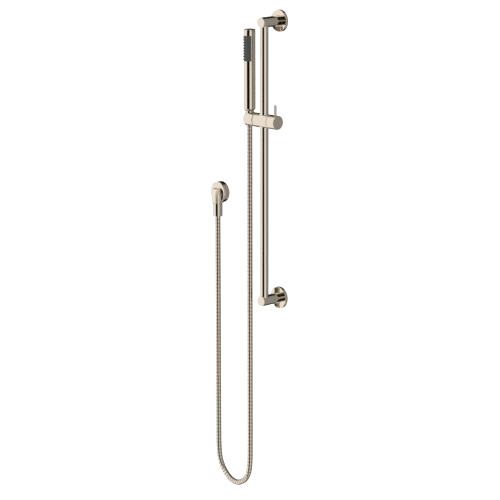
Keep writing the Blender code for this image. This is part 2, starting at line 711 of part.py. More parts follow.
def wall_elbow():
    """The water outlet on the wall: its body, the inlet nipple and the seal behind it."""
    round_steps = [math.radians(30 * i) for i in range(4)]
    corner = PUCK_R - PUCK_ROUND
    rounded = [
        (corner + PUCK_ROUND * math.sin(a), PUCK_DEPTH - PUCK_ROUND + PUCK_ROUND * math.cos(a))
        for a in round_steps
    ]
    body = turned(
        "elbow_body", [(0, PUCK_DEPTH), *rounded, (PUCK_R, 0), (0, 0)], "champagne", ELBOW_AT, TO_FRONT, sides=24
    )
    bend_steps = [math.radians(90 - 15 * i) for i in range(7)]
    bend_out = TONGUE_OUT - TONGUE_BEND
    bend_up = TONGUE_RISE - TONGUE_BEND
    side_view = [(TONGUE_ROOT, TONGUE_RISE)]
    side_view += [(bend_out + TONGUE_BEND * math.cos(a), bend_up + TONGUE_BEND * math.sin(a)) for a in bend_steps]
    side_view += [
        (TONGUE_OUT, -OUTLET_BOTTOM + TONGUE_FOOT), (TONGUE_OUT - TONGUE_FOOT, -OUTLET_BOTTOM),
        (TONGUE_ROOT, -OUTLET_BOTTOM),
    ]
    tongue = prism(
        "add_tongue", [(-out, up) for out, up in side_view], -TONGUE_HALF, TONGUE_HALF,
        None, ELBOW_AT, (math.radians(90), 0, math.radians(90)),
    )
    change_by(body, tongue, "UNION")
    outlet = turned(
        "add_outlet",
        [
            (0, -OUTLET_TOP), (OUTLET_R, -OUTLET_TOP), (OUTLET_R, -OUTLET_BOTTOM + CHAMFER),
            (OUTLET_R - CHAMFER, -OUTLET_BOTTOM), (THREAD_R, -OUTLET_BOTTOM), (THREAD_R, -THREAD_BOTTOM),
            (0, -THREAD_BOTTOM),
        ],
        None, OUTLET_AT, sides=18,
    )
    change_by(body, outlet, "UNION")
    nipple_bore = cylinder_cutter(
        "cut_nipple_bore", NIPPLE_R + GAP, -1, NIPPLE_IN + GAP, ELBOW_AT, TO_FRONT, 36
    )
    change_by(body, nipple_bore)
    change_by(body, cylinder_cutter("cut_inlet_way", NIPPLE_BORE, 5, OUTLET_OUT, ELBOW_AT, TO_FRONT, 20))
    change_by(body, cylinder_cutter("cut_outlet_way", WATER_R, -THREAD_BOTTOM - 1, 2, OUTLET_AT, sides=28))
    seal_in, seal_out = WALL_SEAL_R - WALL_SEAL_HALF, WALL_SEAL_R + WALL_SEAL_HALF
    change_by(body, turned(
        "cut_seal_groove",
        tube_outline(seal_in - GAP, seal_out + GAP, -1, WALL_SEAL_DEPTH + GAP),
        None, ELBOW_AT, TO_FRONT, sides=22,
    ))
    turned(
        "elbow_wall_seal", tube_outline(seal_in, seal_out, GAP / 3, WALL_SEAL_DEPTH),
        "black_rubber", ELBOW_AT, TO_FRONT, sides=22,
    )
    turned(
        "inlet_nipple",
        [
            (NIPPLE_BORE, -NIPPLE_BEHIND), (NIPPLE_R - 1, -NIPPLE_BEHIND), (NIPPLE_R, -NIPPLE_BEHIND + 1),
            (NIPPLE_R, NIPPLE_IN), (NIPPLE_BORE, NIPPLE_IN),
        ],
        "brass", ELBOW_AT, TO_FRONT, sides=28,
    )


def check_valve(poppet_slide):
    """The one-way valve in the outlet: a seat on top, a sprung poppet under it and a guide at the bottom."""
    case_r = WATER_R - GAP
    case_top, case_low = -18.0, -THREAD_BOTTOM + 2.0
    seat_low = case_top - 1.6
    seat_hole, case_bore, stem_r, poppet_r = 4.0, 6.3, 1.5, 5.4
    guide_top = case_low + 2.2
    guide_hole = stem_r + GAP
    case = turned(
        "check_valve_case",
        [
            (seat_hole, case_top), (case_r, case_top), (case_r, case_low), (guide_hole, case_low),
            (guide_hole, guide_top), (case_bore, guide_top), (case_bore, seat_low), (seat_hole, seat_low),
        ],
        "white_plastic", OUTLET_AT, sides=14,
    )
    for i in range(4):
        angle = math.radians(90 * i + 45)
        hole_at = (
            OUTLET_AT[0] + 4.3 * math.cos(angle), OUTLET_AT[1] + 4.3 * math.sin(angle), OUTLET_AT[2]
        )
        change_by(case, cylinder_cutter(f"cut_guide_{i}", 1.4, case_low - 1, guide_top + 1, hole_at, sides=8))
    poppet_top = seat_low - GAP
    poppet_low = poppet_top - 1.8
    turned(
        "check_valve_poppet",
        [
            (0, poppet_top), (poppet_r, poppet_top), (poppet_r, poppet_low), (stem_r, poppet_low),
            (stem_r, case_low + 0.5), (0, case_low + 0.5),
        ],
        "white_plastic", OUTLET_AT, UPRIGHT, poppet_slide, sides=14,
    )
    wire_r, coil_r, turns = 0.35, 3.0, 5
    low, high = guide_top + GAP + wire_r, poppet_low - GAP - wire_r
    coil = bpy.data.curves.new("check_valve_spring", "CURVE")
    coil.dimensions = "3D"
    coil.bevel_depth = wire_r * MM
    coil.bevel_resolution = 0
    coil.use_fill_caps = True
    line = coil.splines.new("POLY")
    count = 7 * turns
    line.points.add(count)
    for i, point in enumerate(line.points):
        angle = 2 * math.pi * turns * i / count
        height = low + (high - low) * i / count
        point.co = (coil_r * math.cos(angle) * MM, coil_r * math.sin(angle) * MM, height * MM, 1)
    spring = bpy.data.objects.new("check_valve_spring", coil)
    spring.location = Vector(OUTLET_AT) * MM
    spring.data.materials.append(finish_material("steel"))
    bpy.context.scene.collection.objects.link(spring)


def wall_nut(turner):
    """The nut and ferrule that join the hose's lower end to the elbow's outlet."""
    seal_high = -THREAD_BOTTOM - GAP
    seal_low = seal_high - SEAL_THICK
    flange_high = seal_low - GAP
    flange_low = flange_high - FERRULE_FLANGE
    turned(
        "wall_hose_seal", tube_outline(FERRULE_BORE + GAP, WALL_FLANGE_R, seal_low, seal_high),
        "black_rubber", OUTLET_AT, sides=18,
    )
    turned(
        "wall_ferrule",
        [
            (FERRULE_BORE, -WALL_NUT_BOTTOM), (FERRULE_R, -WALL_NUT_BOTTOM), (FERRULE_R, flange_low),
            (WALL_FLANGE_R, flange_low), (WALL_FLANGE_R, flange_high), (FERRULE_BORE, flange_high),
        ],
        "brass", OUTLET_AT, sides=18,
    )
    shoulder = flange_low - GAP
    turned(
        "wall_hose_nut",
        [
            (FERRULE_R + GAP, -WALL_NUT_BOTTOM), (WALL_NUT_R - CHAMFER, -WALL_NUT_BOTTOM),
            (WALL_NUT_R, -WALL_NUT_BOTTOM + CHAMFER), (WALL_NUT_R, -WALL_NUT_TOP - CHAMFER),
            (WALL_NUT_R - CHAMFER, -WALL_NUT_TOP), (THREAD_R + GAP, -WALL_NUT_TOP), (THREAD_R + GAP, shoulder),
            (FERRULE_R + GAP, shoulder),
        ],
        "champagne", OUTLET_AT, UPRIGHT, turner, sides=22,
    )


def route_point(share, height):
    """A point of the hose's route: its share of the way across gives where it is along both X and Y."""
    left, right = Vector(OUTLET_AT), Vector(CRADLE_AT)
    across = left.lerp(right, share)
    return Vector((across.x, across.y, height))


def smooth_points(route, step):
    """Points about a step apart on the Catmull-Rom curve through the route."""
    ends = [2 * route[0] - route[1]] + route + [2 * route[-1] - route[-2]]
    found = [route[0]]
    for before, start, end, after in zip(ends, ends[1:], ends[2:], ends[3:]):
        parts = max(1, round((end - start).length / step))
        for i in range(1, parts + 1):
            t = i / parts
            found.append(0.5 * (
                2 * start + (end - before) * t + (2 * before - 5 * start + 4 * end - after) * t**2
                + (3 * start - before - 3 * end + after) * t**3
            ))
    return found


def hose_tube(name, points):
    tube = bpy.data.curves.new(name, "CURVE")
    tube.dimensions = "3D"
    tube.bevel_depth = HOSE_R * MM
    tube.bevel_resolution = 2
    tube.use_fill_caps = True
    line = tube.splines.new("POLY")
    line.points.add(len(points) - 1)
    for point, place in zip(line.points, points):
        point.co = (*(place * MM), 1)
    thing = bpy.data.objects.new(name, tube)
    thing.data.materials.append(finish_material("champagne"))
    bpy.context.scene.collection.objects.link(thing)


def hose():
    """The metal hose, in the three stretches that bend with different joints."""
    lower_end = -ELBOW_DROP - WALL_NUT_BOTTOM - GAP
    upper_end = -SLIDER_DROP + NUT_BOTTOM - GAP
    split = upper_end - HOSE_BEND_LENGTH
    half_gap = Vector((GAP / 2, 0, 0))
    left = [route_point(0, lower_end)] + [route_point(*p) for p in HOSE_LEFT_ROUTE if p[1] < lower_end]
    left[-1] = left[-1] - half_gap
    right = [route_point(*p) for p in HOSE_RIGHT_ROUTE if p[1] < split - HOSE_R] + [route_point(1, split - GAP)]
    right[0] = right[0] + half_gap
    hose_tube("hose_wall_side", smooth_points(left, HOSE_STEP))
    hose_tube("hose_slider_side", smooth_points(right, HOSE_STEP))
    bend = [route_point(1, split), route_point(1, (split + upper_end) / 2), route_point(1, upper_end)]
    hose_tube("hose_bend", smooth_points(bend, HOSE_STEP))


def main():
    clear_scene()
    paths = [wall_bracket("upper", 0, -1), wall_bracket("lower", -RAIL_SPAN, 1)]
    rail(paths)
    carriage = pivot("axis_slider_height", SLIDER_AT)
    turner = pivot("axis_lock_knob", SLIDER_AT)
    tilter = pivot("axis_holder_tilt", SLIDER_AT)
    lifter = pivot("axis_handset_lift", CRADLE_AT)
    spinner = pivot("axis_handset_spin", CRADLE_AT)
    shoe_end = rail_clamp(carriage)
    lock_knob(turner, shoe_end)
    handset_holder(tilter, carriage)
    seal_top = hose_swivel(lifter)
    handset(spinner, seal_top)
    wall_elbow()
    check_valve(pivot("axis_check_valve", OUTLET_AT))
    wall_nut(pivot("axis_wall_nut", OUTLET_AT))
    hose()


main()
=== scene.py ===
import math

import bpy
import numpy as np
from mathutils import Matrix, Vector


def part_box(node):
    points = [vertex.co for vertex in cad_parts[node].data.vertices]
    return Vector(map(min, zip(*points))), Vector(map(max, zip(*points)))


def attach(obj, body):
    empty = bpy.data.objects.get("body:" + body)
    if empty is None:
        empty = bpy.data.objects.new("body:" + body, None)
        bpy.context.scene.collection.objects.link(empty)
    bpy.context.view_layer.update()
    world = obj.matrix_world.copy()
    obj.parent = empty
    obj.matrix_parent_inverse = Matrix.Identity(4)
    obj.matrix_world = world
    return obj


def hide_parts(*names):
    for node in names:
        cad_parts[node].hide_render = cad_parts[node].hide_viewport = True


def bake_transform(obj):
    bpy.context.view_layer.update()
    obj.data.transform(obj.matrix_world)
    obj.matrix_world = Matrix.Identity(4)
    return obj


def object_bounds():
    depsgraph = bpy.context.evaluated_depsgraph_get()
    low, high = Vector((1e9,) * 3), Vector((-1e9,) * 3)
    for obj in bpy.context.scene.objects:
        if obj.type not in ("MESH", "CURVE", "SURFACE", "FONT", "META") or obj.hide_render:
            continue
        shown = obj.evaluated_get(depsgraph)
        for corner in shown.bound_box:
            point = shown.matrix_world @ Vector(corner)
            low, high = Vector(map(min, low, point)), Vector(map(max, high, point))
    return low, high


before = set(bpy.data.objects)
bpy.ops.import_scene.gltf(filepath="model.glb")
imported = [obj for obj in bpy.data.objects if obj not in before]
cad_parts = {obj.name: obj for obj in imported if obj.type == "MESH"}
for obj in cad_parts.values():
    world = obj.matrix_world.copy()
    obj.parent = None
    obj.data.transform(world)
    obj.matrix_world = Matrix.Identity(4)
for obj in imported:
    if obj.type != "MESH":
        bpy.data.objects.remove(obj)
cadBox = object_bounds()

mm = 0.001
partGap = 0.3 * mm


def boxOf(node):
    low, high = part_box(node)
    return np.array(low), np.array(high)


railLow, railHigh = boxOf("rail_tube")
railAt = np.array([0.0, (railLow[1] + railHigh[1]) / 2, 0.0])
railRadius = (railHigh[0] - railLow[0]) / 2
clampLow, clampHigh = boxOf("slider_body")
sliderAt = np.array([0.0, railAt[1], (clampLow[2] + clampHigh[2]) / 2])
tubeLow, tubeHigh = boxOf("handset_tube")
gripAt = np.array([(tubeLow[0] + tubeHigh[0]) / 2, sliderAt[1], sliderAt[2]])
puckLow, puckHigh = boxOf("inlet_nipple")
elbowAt = np.array([(puckLow[0] + puckHigh[0]) / 2, 0.0, (puckLow[2] + puckHigh[2]) / 2])
nutLow, nutHigh = boxOf("wall_hose_nut")
outletAt = np.array([elbowAt[0], (nutLow[1] + nutHigh[1]) / 2, elbowAt[2]])

# camera, floor and light

view = {
    "azimuth": math.radians(45.46),  # from straight ahead, towards +X
    "elevation": math.radians(11.9),
    "roll": math.radians(-0.09),
    "distance": 6.3029,
    "lens": 178.2,
    "sensor": 36,
    "farClip": 200,
    "target": (-0.10803, -0.0003, -0.59463),
}


def placeCamera():
    # the camera stands on the line that leaves the target at this azimuth and elevation
    back = np.array([
        math.sin(view["azimuth"]) * math.cos(view["elevation"]),
        -math.cos(view["azimuth"]) * math.cos(view["elevation"]),
        math.sin(view["elevation"]),
    ])
    data = bpy.data.cameras.new("studioCamera")
    data.lens = view["lens"]
    data.sensor_width = view["sensor"]
    data.clip_end = view["farClip"]
    camera = bpy.data.objects.new("studioCamera", data)
    camera.location = np.array(view["target"]) + back * view["distance"]
    turn = Matrix.Rotation(view["azimuth"], 3, "Z")
    tip = Matrix.Rotation(math.pi / 2 - view["elevation"], 3, "X")
    camera.rotation_euler = (turn @ tip @ Matrix.Rotation(view["roll"], 3, "Z")).to_euler()
    bpy.context.scene.collection.objects.link(camera)
    bpy.context.scene.camera = camera


studio = {
    "floorDrop": 0.26,  # under the set at rest, so that the hose clears it with the slider at its lowest
    "floorSize": 60.0,
    "floorTone": 0.86,
    "floorRoughness": 0.9,
    "keyPower": 1.6,
    "keySpread": math.radians(60),
    "keyLean": (math.radians(12), math.radians(-10), 0),
    # what the metal sees round it: (azimuth in degrees, brightness) from straight ahead towards +X
    "cards": [
        (-180, 0.015), (-97, 0.015), (-92, 1.05), (-12, 1.05), (-9, 0.006), (44, 0.006), (47, 0.97),
        (88, 0.94), (92, 0.335), (172, 0.30), (180, 0.015),
    ],
}


def addNode(tree, kind, **settings):
    node = tree.nodes.new(kind)
    for name, value in settings.items():
        setattr(node, name, value)
    return node


def doMath(tree, operation, first, second=None):
    node = addNode(tree, "ShaderNodeMath", operation=operation)
    for socket, value in zip(node.inputs, (first, second)):
        if value is None:
            continue
        if isinstance(value, (int, float)):
            socket.default_value = value
        else:
            tree.links.new(value, socket)
    return node.outputs[0]


def lightStudio():
    world = bpy.data.worlds.new("studioCards")
    bpy.context.scene.world = world
    world.use_nodes = True
    tree = world.node_tree
    tree.nodes.clear()
    direction = addNode(tree, "ShaderNodeTexCoord").outputs["Generated"]
    split = addNode(tree, "ShaderNodeSeparateXYZ")
    tree.links.new(direction, split.inputs[0])
    # azimuth = atan2(x, -y), laid from 0 to 1
    turn = doMath(tree, "ARCTAN2", split.outputs[0], doMath(tree, "MULTIPLY", split.outputs[1], -1.0))
    share = doMath(tree, "ADD", doMath(tree, "DIVIDE", turn, 2 * math.pi), 0.5)
    ramp = addNode(tree, "ShaderNodeValToRGB")
    tree.links.new(share, ramp.inputs[0])
    stops = ramp.color_ramp.elements
    while len(stops) < len(studio["cards"]):
        stops.new(0.5)
    for stop, (azimuth, bright) in zip(stops, studio["cards"]):
        stop.position = azimuth / 360 + 0.5
        stop.color = (bright, bright, bright, 1)
    cards = addNode(tree, "ShaderNodeBackground")
    tree.links.new(ramp.outputs["Color"], cards.inputs["Color"])
    plain = addNode(tree, "ShaderNodeBackground")
    plain.inputs["Color"].default_value = (1, 1, 1, 1)
    mix = addNode(tree, "ShaderNodeMixShader")
    tree.links.new(addNode(tree, "ShaderNodeLightPath").outputs["Is Glossy Ray"], mix.inputs[0])
    tree.links.new(plain.outputs[0], mix.inputs[1])
    tree.links.new(cards.outputs[0], mix.inputs[2])
    tree.links.new(mix.outputs[0], addNode(tree, "ShaderNodeOutputWorld").inputs["Surface"])

    key = bpy.data.lights.new("overheadKey", "SUN")
    key.energy = studio["keyPower"]
    key.angle = studio["keySpread"]
    keyObject = bpy.data.objects.new("overheadKey", key)
    keyObject.rotation_euler = studio["keyLean"]
    keyObject.visible_glossy = False
    bpy.context.scene.collection.objects.link(keyObject)

    half = studio["floorSize"] / 2
    level = cadBox[0][2] - studio["floorDrop"]
    mesh = bpy.data.meshes.new("studioFloor")
    square = [(-half, -half, level), (half, -half, level), (half, half, level), (-half, half, level)]
    mesh.from_pydata(square, [], [(0, 1, 2, 3)])
    floor = bpy.data.objects.new("studioFloor", mesh)
    floor.visible_glossy = False
    bpy.context.scene.collection.objects.link(floor)
    paint = bpy.data.materials.new("floorPaint")
    paint.use_nodes = True
    shader = paint.node_tree.nodes["Principled BSDF"]
    shader.inputs["Base Color"].default_value = (studio["floorTone"],) * 3 + (1,)
    shader.inputs["Roughness"].default_value = studio["floorRoughness"]
    shader.inputs["Specular IOR Level"].default_value = 0.0
    mesh.materials.append(paint)
    bpy.context.scene.view_settings.view_transform = "Standard"


placeCamera()
lightStudio()
print("camera, light and floor are set")

# shared effects, as node groups
effects = {
    "lineDetail": 3.0, "lineRoughness": 0.6, "cloudScale": 45.0, "patchScale": 160.0, "patchDetail": 3.0,
    "ringDistance": 0.16, "ringSharpness": 18.0, "ringPatch": 30.0, "ringThreshold": 0.56,
}


def addNoise(tree, vector, scale, detail=2.0, roughness=0.5):
    node = addNode(tree, "ShaderNodeTexNoise")
    node.inputs["Detail"].default_value = detail
    node.inputs["Roughness"].default_value = roughness
    tree.links.new(vector, node.inputs["Vector"])
    if isinstance(scale, float):
        node.inputs["Scale"].default_value = scale
    else:
        tree.links.new(scale, node.inputs["Scale"])
    return node.outputs["Fac"]


def startGroup(name, inputs, outputs):
    group = bpy.data.node_groups.new(name, "ShaderNodeTree")
    for label, kind, value in inputs:
        socket = group.interface.new_socket(label, in_out="INPUT", socket_type=kind)
        if value is not None:
            socket.default_value = value
    for label, kind in outputs:
        group.interface.new_socket(label, in_out="OUTPUT", socket_type=kind)
    return group, addNode(group, "NodeGroupInput"), addNode(group, "NodeGroupOutput")


def makeGrainGroup():
    # fine lines along U: noise read from the UV map, stretched by Along and Across
    group, given, result = startGroup(
        "brushedGrain",
        [("Vector", "NodeSocketVector", None), ("Along", "NodeSocketFloat", 20.0),
         ("Across", "NodeSocketFloat", 3000.0)],
        [("Lines", "NodeSocketFloat"), ("Cloud", "NodeSocketFloat")],
    )
    stretch = addNode(group, "ShaderNodeCombineXYZ")
    group.links.new(given.outputs["Along"], stretch.inputs[0])
    group.links.new(given.outputs["Across"], stretch.inputs[1])
    scaled = addNode(group, "ShaderNodeVectorMath", operation="MULTIPLY")
    group.links.new(given.outputs["Vector"], scaled.inputs[0])
    group.links.new(stretch.outputs[0], scaled.inputs[1])
    lines = addNoise(group, scaled.outputs[0], 1.0, effects["lineDetail"], effects["lineRoughness"])
    group.links.new(lines, result.inputs["Lines"])
    cloud = addNoise(group, given.outputs["Vector"], effects["cloudScale"])
    group.links.new(cloud, result.inputs["Cloud"])
    return group


def makeEdgeGroup():
    # 1 on a rounded edge and 0 on the faces, broken up a little by noise, times Amount: where the painted
    # highlight goes
    group, given, result = startGroup(
        "paintedEdgeHighlight",
        [("Vector", "NodeSocketVector", None), ("Amount", "NodeSocketFloat", 1.0)],
        [("Mask", "NodeSocketFloat")],
    )
    edge = addNode(group, "ShaderNodeAttribute", attribute_name="edge")
    patch = addNoise(group, given.outputs["Vector"], effects["patchScale"], effects["patchDetail"])
    uneven = doMath(group, "MULTIPLY", edge.outputs["Fac"], patch)
    group.links.new(doMath(group, "MULTIPLY", uneven, given.outputs["Amount"]), result.inputs["Mask"])
    return group


def makeSpotGroup():
    # faint dried drops: rings where the distance to a scattered point is near a set value
    group, given, result = startGroup(
        "driedDrops",
        [("Vector", "NodeSocketVector", None), ("Scale", "NodeSocketFloat", 180.0),
         ("Amount", "NodeSocketFloat", 1.0)],
        [("Mask", "NodeSocketFloat")],
    )
    cells = addNode(group, "ShaderNodeTexVoronoi")
    group.links.new(given.outputs["Vector"], cells.inputs["Vector"])
    group.links.new(given.outputs["Scale"], cells.inputs["Scale"])
    past = doMath(group, "SUBTRACT", cells.outputs["Distance"], effects["ringDistance"])
    off = doMath(group, "ABSOLUTE", past)
    ring = doMath(group, "SUBTRACT", 1.0, doMath(group, "MULTIPLY", off, effects["ringSharpness"]))
    thin = addNoise(group, given.outputs["Vector"], effects["ringPatch"])
    few = doMath(group, "GREATER_THAN", thin, effects["ringThreshold"])
    kept = doMath(group, "MULTIPLY", doMath(group, "MAXIMUM", ring, 0.0), few)
    group.links.new(doMath(group, "MULTIPLY", kept, given.outputs["Amount"]), result.inputs["Mask"])
    return group


def makeFleckGroup():
    # moulded surface: fine noise for its bump and slow noise for its tone
    group, given, result = startGroup(
        "mouldedGrain",
        [("Vector", "NodeSocketVector", None), ("Fine", "NodeSocketFloat", 2500.0),
         ("Slow", "NodeSocketFloat", 90.0)],
        [("Pores", "NodeSocketFloat"), ("Tone", "NodeSocketFloat")],
    )
    for size, label in (("Fine", "Pores"), ("Slow", "Tone")):
        noise = addNoise(group, given.outputs["Vector"], given.outputs[size])
        group.links.new(noise, result.inputs[label])
    return group


grainGroup, edgeGroup = makeGrainGroup(), makeEdgeGroup()
spotGroup, fleckGroup = makeSpotGroup(), makeFleckGroup()


def useGroup(tree, group, source, **values):
    node = addNode(tree, "ShaderNodeGroup", node_tree=group)
    tree.links.new(source, node.inputs["Vector"])
    for name, value in values.items():
        node.inputs[name].default_value = value
    return node


def mixColours(tree, share, first, second):
    node = addNode(tree, "ShaderNodeMix", data_type="RGBA")
    tree.links.new(share, node.inputs[0])
    for socket, value in ((node.inputs[6], first), (node.inputs[7], second)):
        if isinstance(value, tuple):
            socket.default_value = (*value, 1)
        else:
            tree.links.new(value, socket)
    return node.outputs[2]


def newFinish(name, metallic):
    finish = bpy.data.materials.new(name)
    finish.use_nodes = True
    shader = finish.node_tree.nodes["Principled BSDF"]
    shader.inputs["Metallic"].default_value = metallic
    return finish, finish.node_tree, shader


def addBump(tree, shader, height, distance):
    bump = addNode(tree, "ShaderNodeBump")
    bump.inputs["Distance"].default_value = distance
    bump.inputs["Strength"].default_value = 1.0
    tree.links.new(height, bump.inputs["Height"])
    tree.links.new(bump.outputs["Normal"], shader.inputs["Normal"])


# the edge mask's amount sets the painted highlight on rounded edges, and its polish lowers the roughness
# there
metalLook = {
    "highlightAmount": 1.3, "dropAmount": 0.6, "darkTone": 0.975, "lightTone": 1.02, "dropRoughness": 0.12,
    "edgePolish": 0.03, "lineHeight": 0.002 * mm,
}


def metalFinish(name, colour, highlightTone, roughness, spread, along=25.0, across=2600.0, grooveShade=0.0, uvMap=True):
    # roughness + spread * lines, rougher on a dried drop and polished where the edge mask is 1; the colour
    # there is painted lighter, a painted highlight
    look = metalLook
    finish, tree, shader = newFinish(name, 1.0)
    place = addNode(tree, "ShaderNodeTexCoord")
    grain = useGroup(tree, grainGroup, place.outputs["UV" if uvMap else "Object"], Along=along, Across=across)
    edgeHighlight = useGroup(tree, edgeGroup, place.outputs["Object"], Amount=look["highlightAmount"])
    drops = useGroup(tree, spotGroup, place.outputs["Object"], Amount=look["dropAmount"])
    dark = tuple(look["darkTone"] * c for c in colour)
    light = tuple(look["lightTone"] * c for c in colour)
    toned = mixColours(tree, grain.outputs["Cloud"], dark, light)
    # painted shade: the colour darkens in the grooves of the hose's strip
    if grooveShade:
        depth = addNode(tree, "ShaderNodeAttribute", attribute_name="grooveShade")
        toned = mixColours(tree, depth.outputs["Fac"], toned, tuple(grooveShade * c for c in colour))
    # painted highlight: the colour is lighter on rounded edges, as if light caught them
    tree.links.new(mixColours(tree, edgeHighlight.outputs["Mask"], toned, highlightTone), shader.inputs["Base Color"])
    rough = doMath(tree, "ADD", doMath(tree, "MULTIPLY", grain.outputs["Lines"], spread), roughness)
    spots = doMath(tree, "MULTIPLY", drops.outputs["Mask"], look["dropRoughness"])
    polish = doMath(tree, "MULTIPLY", edgeHighlight.outputs["Mask"], look["edgePolish"])
    rough = doMath(tree, "SUBTRACT", doMath(tree, "ADD", rough, spots), polish)
    tree.links.new(rough, shader.inputs["Roughness"])
    addBump(tree, shader, grain.outputs["Lines"], look["lineHeight"])
    return finish


mouldedLook = {"slow": 110.0, "poreRoughness": 0.15}


def mouldedFinish(name, colour, other, roughness, fine, bump):
    # moulded plastic or rubber: tone from slow noise, a fine pored bump
    finish, tree, shader = newFinish(name, 0.0)
    place = addNode(tree, "ShaderNodeTexCoord")
    grain = useGroup(tree, fleckGroup, place.outputs["Object"], Fine=fine, Slow=mouldedLook["slow"])
    tree.links.new(mixColours(tree, grain.outputs["Tone"], colour, other), shader.inputs["Base Color"])
    pores = doMath(tree, "MULTIPLY", grain.outputs["Pores"], mouldedLook["poreRoughness"])
    rough = doMath(tree, "ADD", pores, roughness)
    tree.links.new(rough, shader.inputs["Roughness"])
    addBump(tree, shader, grain.outputs["Pores"], bump)
    return finish


# the second tone of each metal is the lighter colour of its painted highlight on rounded edges
champagneTones = {"colour": (0.775, 0.69, 0.575), "highlightTone": (0.83, 0.76, 0.66)}
cast = {"along": 300.0, "across": 300.0, "uvMap": False}
champagneTube = metalFinish("champagneTube", **champagneTones, roughness=0.035, spread=0.03)
champagneTurned = metalFinish(
    "champagneTurned", **champagneTones, roughness=0.045, spread=0.035, along=12.0, across=3400.0
)
champagneCast = metalFinish("champagneCast", **champagneTones, roughness=0.06, spread=0.04, **cast)
# the hose's grooves take painted shade, at half its colour
hoseMetal = metalFinish(
    "hoseMetal", **champagneTones, roughness=0.05, spread=0.04, along=60.0, across=1500.0, grooveShade=0.5
)
turnedSteel = metalFinish(
    "turnedSteel", colour=(0.58, 0.58, 0.57), highlightTone=(0.7, 0.7, 0.69), roughness=0.24, spread=0.12, **cast
)
turnedBrass = metalFinish(
    "turnedBrass", colour=(0.70, 0.52, 0.26), highlightTone=(0.8, 0.64, 0.38), roughness=0.2, spread=0.12, **cast
)
whiteAcetal = mouldedFinish(
    "whiteAcetal", (0.74, 0.74, 0.71), (0.8, 0.8, 0.775), roughness=0.34, fine=2200.0, bump=0.01 * mm
)
sealRubber = mouldedFinish(
    "sealRubber", (0.018, 0.018, 0.018), (0.03, 0.03, 0.029), roughness=0.5, fine=3000.0, bump=0.02 * mm
)
sprayRubber = mouldedFinish(
    "sprayRubber", (0.052, 0.052, 0.049), (0.07, 0.07, 0.066), roughness=0.42, fine=3600.0, bump=0.015 * mm
)

# every solid takes the finish of the last row that its name fits, and the cast one if it fits none
nodeFinishes = [
    (("ferrule", "nipple", "adapter", "brake_shoe"), turnedBrass),
    (("plug", "bush", "valve", "chamber", "waterway"), whiteAcetal),
    (("ring", "seal", "washer"), sealRubber),
    (("screw", "wall_plate", "spindle", "spring"), turnedSteel),
]


def finishNodes():
    for name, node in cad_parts.items():
        found = champagneCast
        for words, finish in nodeFinishes:
            if any(word in name for word in words):
                found = finish
        node.data.materials.clear()
        node.data.materials.append(found)


finishNodes()
print("finishes are made")

# surfaces worked out on a grid
gridShape = {"support": 0.25 * mm, "sharpAngle": math.radians(38), "cutSharpAngle": math.radians(32)}


def circle(count):
    return np.linspace(0, 2 * math.pi, count, endpoint=False)


def runLength(points):
    # the length run along a line of points, at each of them
    return np.concatenate([[0], np.cumsum(np.linalg.norm(np.diff(points, axis=0), axis=1))])


def unit(vectors):
    return vectors / np.linalg.norm(vectors, axis=1)[:, None]


def roundOutline(corners, steps=7):
    # each corner (radius, height, fillet) becomes an arc that touches both sides, with a point past each end
    support = gridShape["support"]
    found, onEdge = [], []
    count = len(corners)
    for i, (r, h, fillet) in enumerate(corners):
        here = np.array([r, h])
        if fillet <= 0:
            found.append(here)
            onEdge.append(0.0)
            continue
        before = np.array(corners[i - 1][:2]) - here
        after = np.array(corners[(i + 1) % count][:2]) - here
        reachBefore, reachAfter = np.linalg.norm(before), np.linalg.norm(after)
        before, after = before / reachBefore, after / reachAfter
        half = math.acos(np.clip(before @ after, -1, 1)) / 2
        setBack = fillet / math.tan(half)
        middle = here + (before + after) / np.linalg.norm(before + after) * fillet / math.sin(half)
        first, last = here + before * setBack - middle, here + after * setBack - middle
        sweep = math.atan2(first[0] * last[1] - first[1] * last[0], first @ last)
        if reachBefore > setBack + 2 * support:
            found.append(here + before * (setBack + support))
            onEdge.append(0.0)
        for share in np.linspace(0, 1, steps):
            turn = sweep * share
            found.append(middle + np.array([
                first[0] * math.cos(turn) - first[1] * math.sin(turn),
                first[0] * math.sin(turn) + first[1] * math.cos(turn),
            ]))
            onEdge.append(1.0)
        if reachAfter > setBack + 2 * support:
            found.append(here + after * (setBack + support))
            onEdge.append(0.0)
    return np.array(found), np.array(onEdge)


def fillMesh(name, points, faces, uv=None, marks=None):
    # faces is a list of index arrays, each of one corner count
    mesh = bpy.data.meshes.new(name)
    corners = np.concatenate([f.ravel() for f in faces]).astype(np.int32)
    sizes = np.concatenate([np.full(len(f), f.shape[1]) for f in faces])
    starts = np.concatenate([[0], np.cumsum(sizes)[:-1]]).astype(np.int32)
    mesh.vertices.add(len(points))
    mesh.vertices.foreach_set("co", points.astype(np.float32).ravel())
    mesh.loops.add(len(corners))
    mesh.loops.foreach_set("vertex_index", corners)
    mesh.polygons.add(len(starts))
    mesh.polygons.foreach_set("loop_start", starts)
    mesh.update(calc_edges=True)
    if uv is not None:
        layer = mesh.uv_layers.new(name="surface")
        layer.uv.foreach_set("vector", uv.astype(np.float32).ravel())
    for label, values in (marks or {}).items():
        mesh.attributes.new(label, "FLOAT", "POINT").data.foreach_set("value", values.astype(np.float32))
    mesh.shade_smooth()
    mesh.set_sharp_from_angle(angle=gridShape["sharpAngle"])
    return mesh


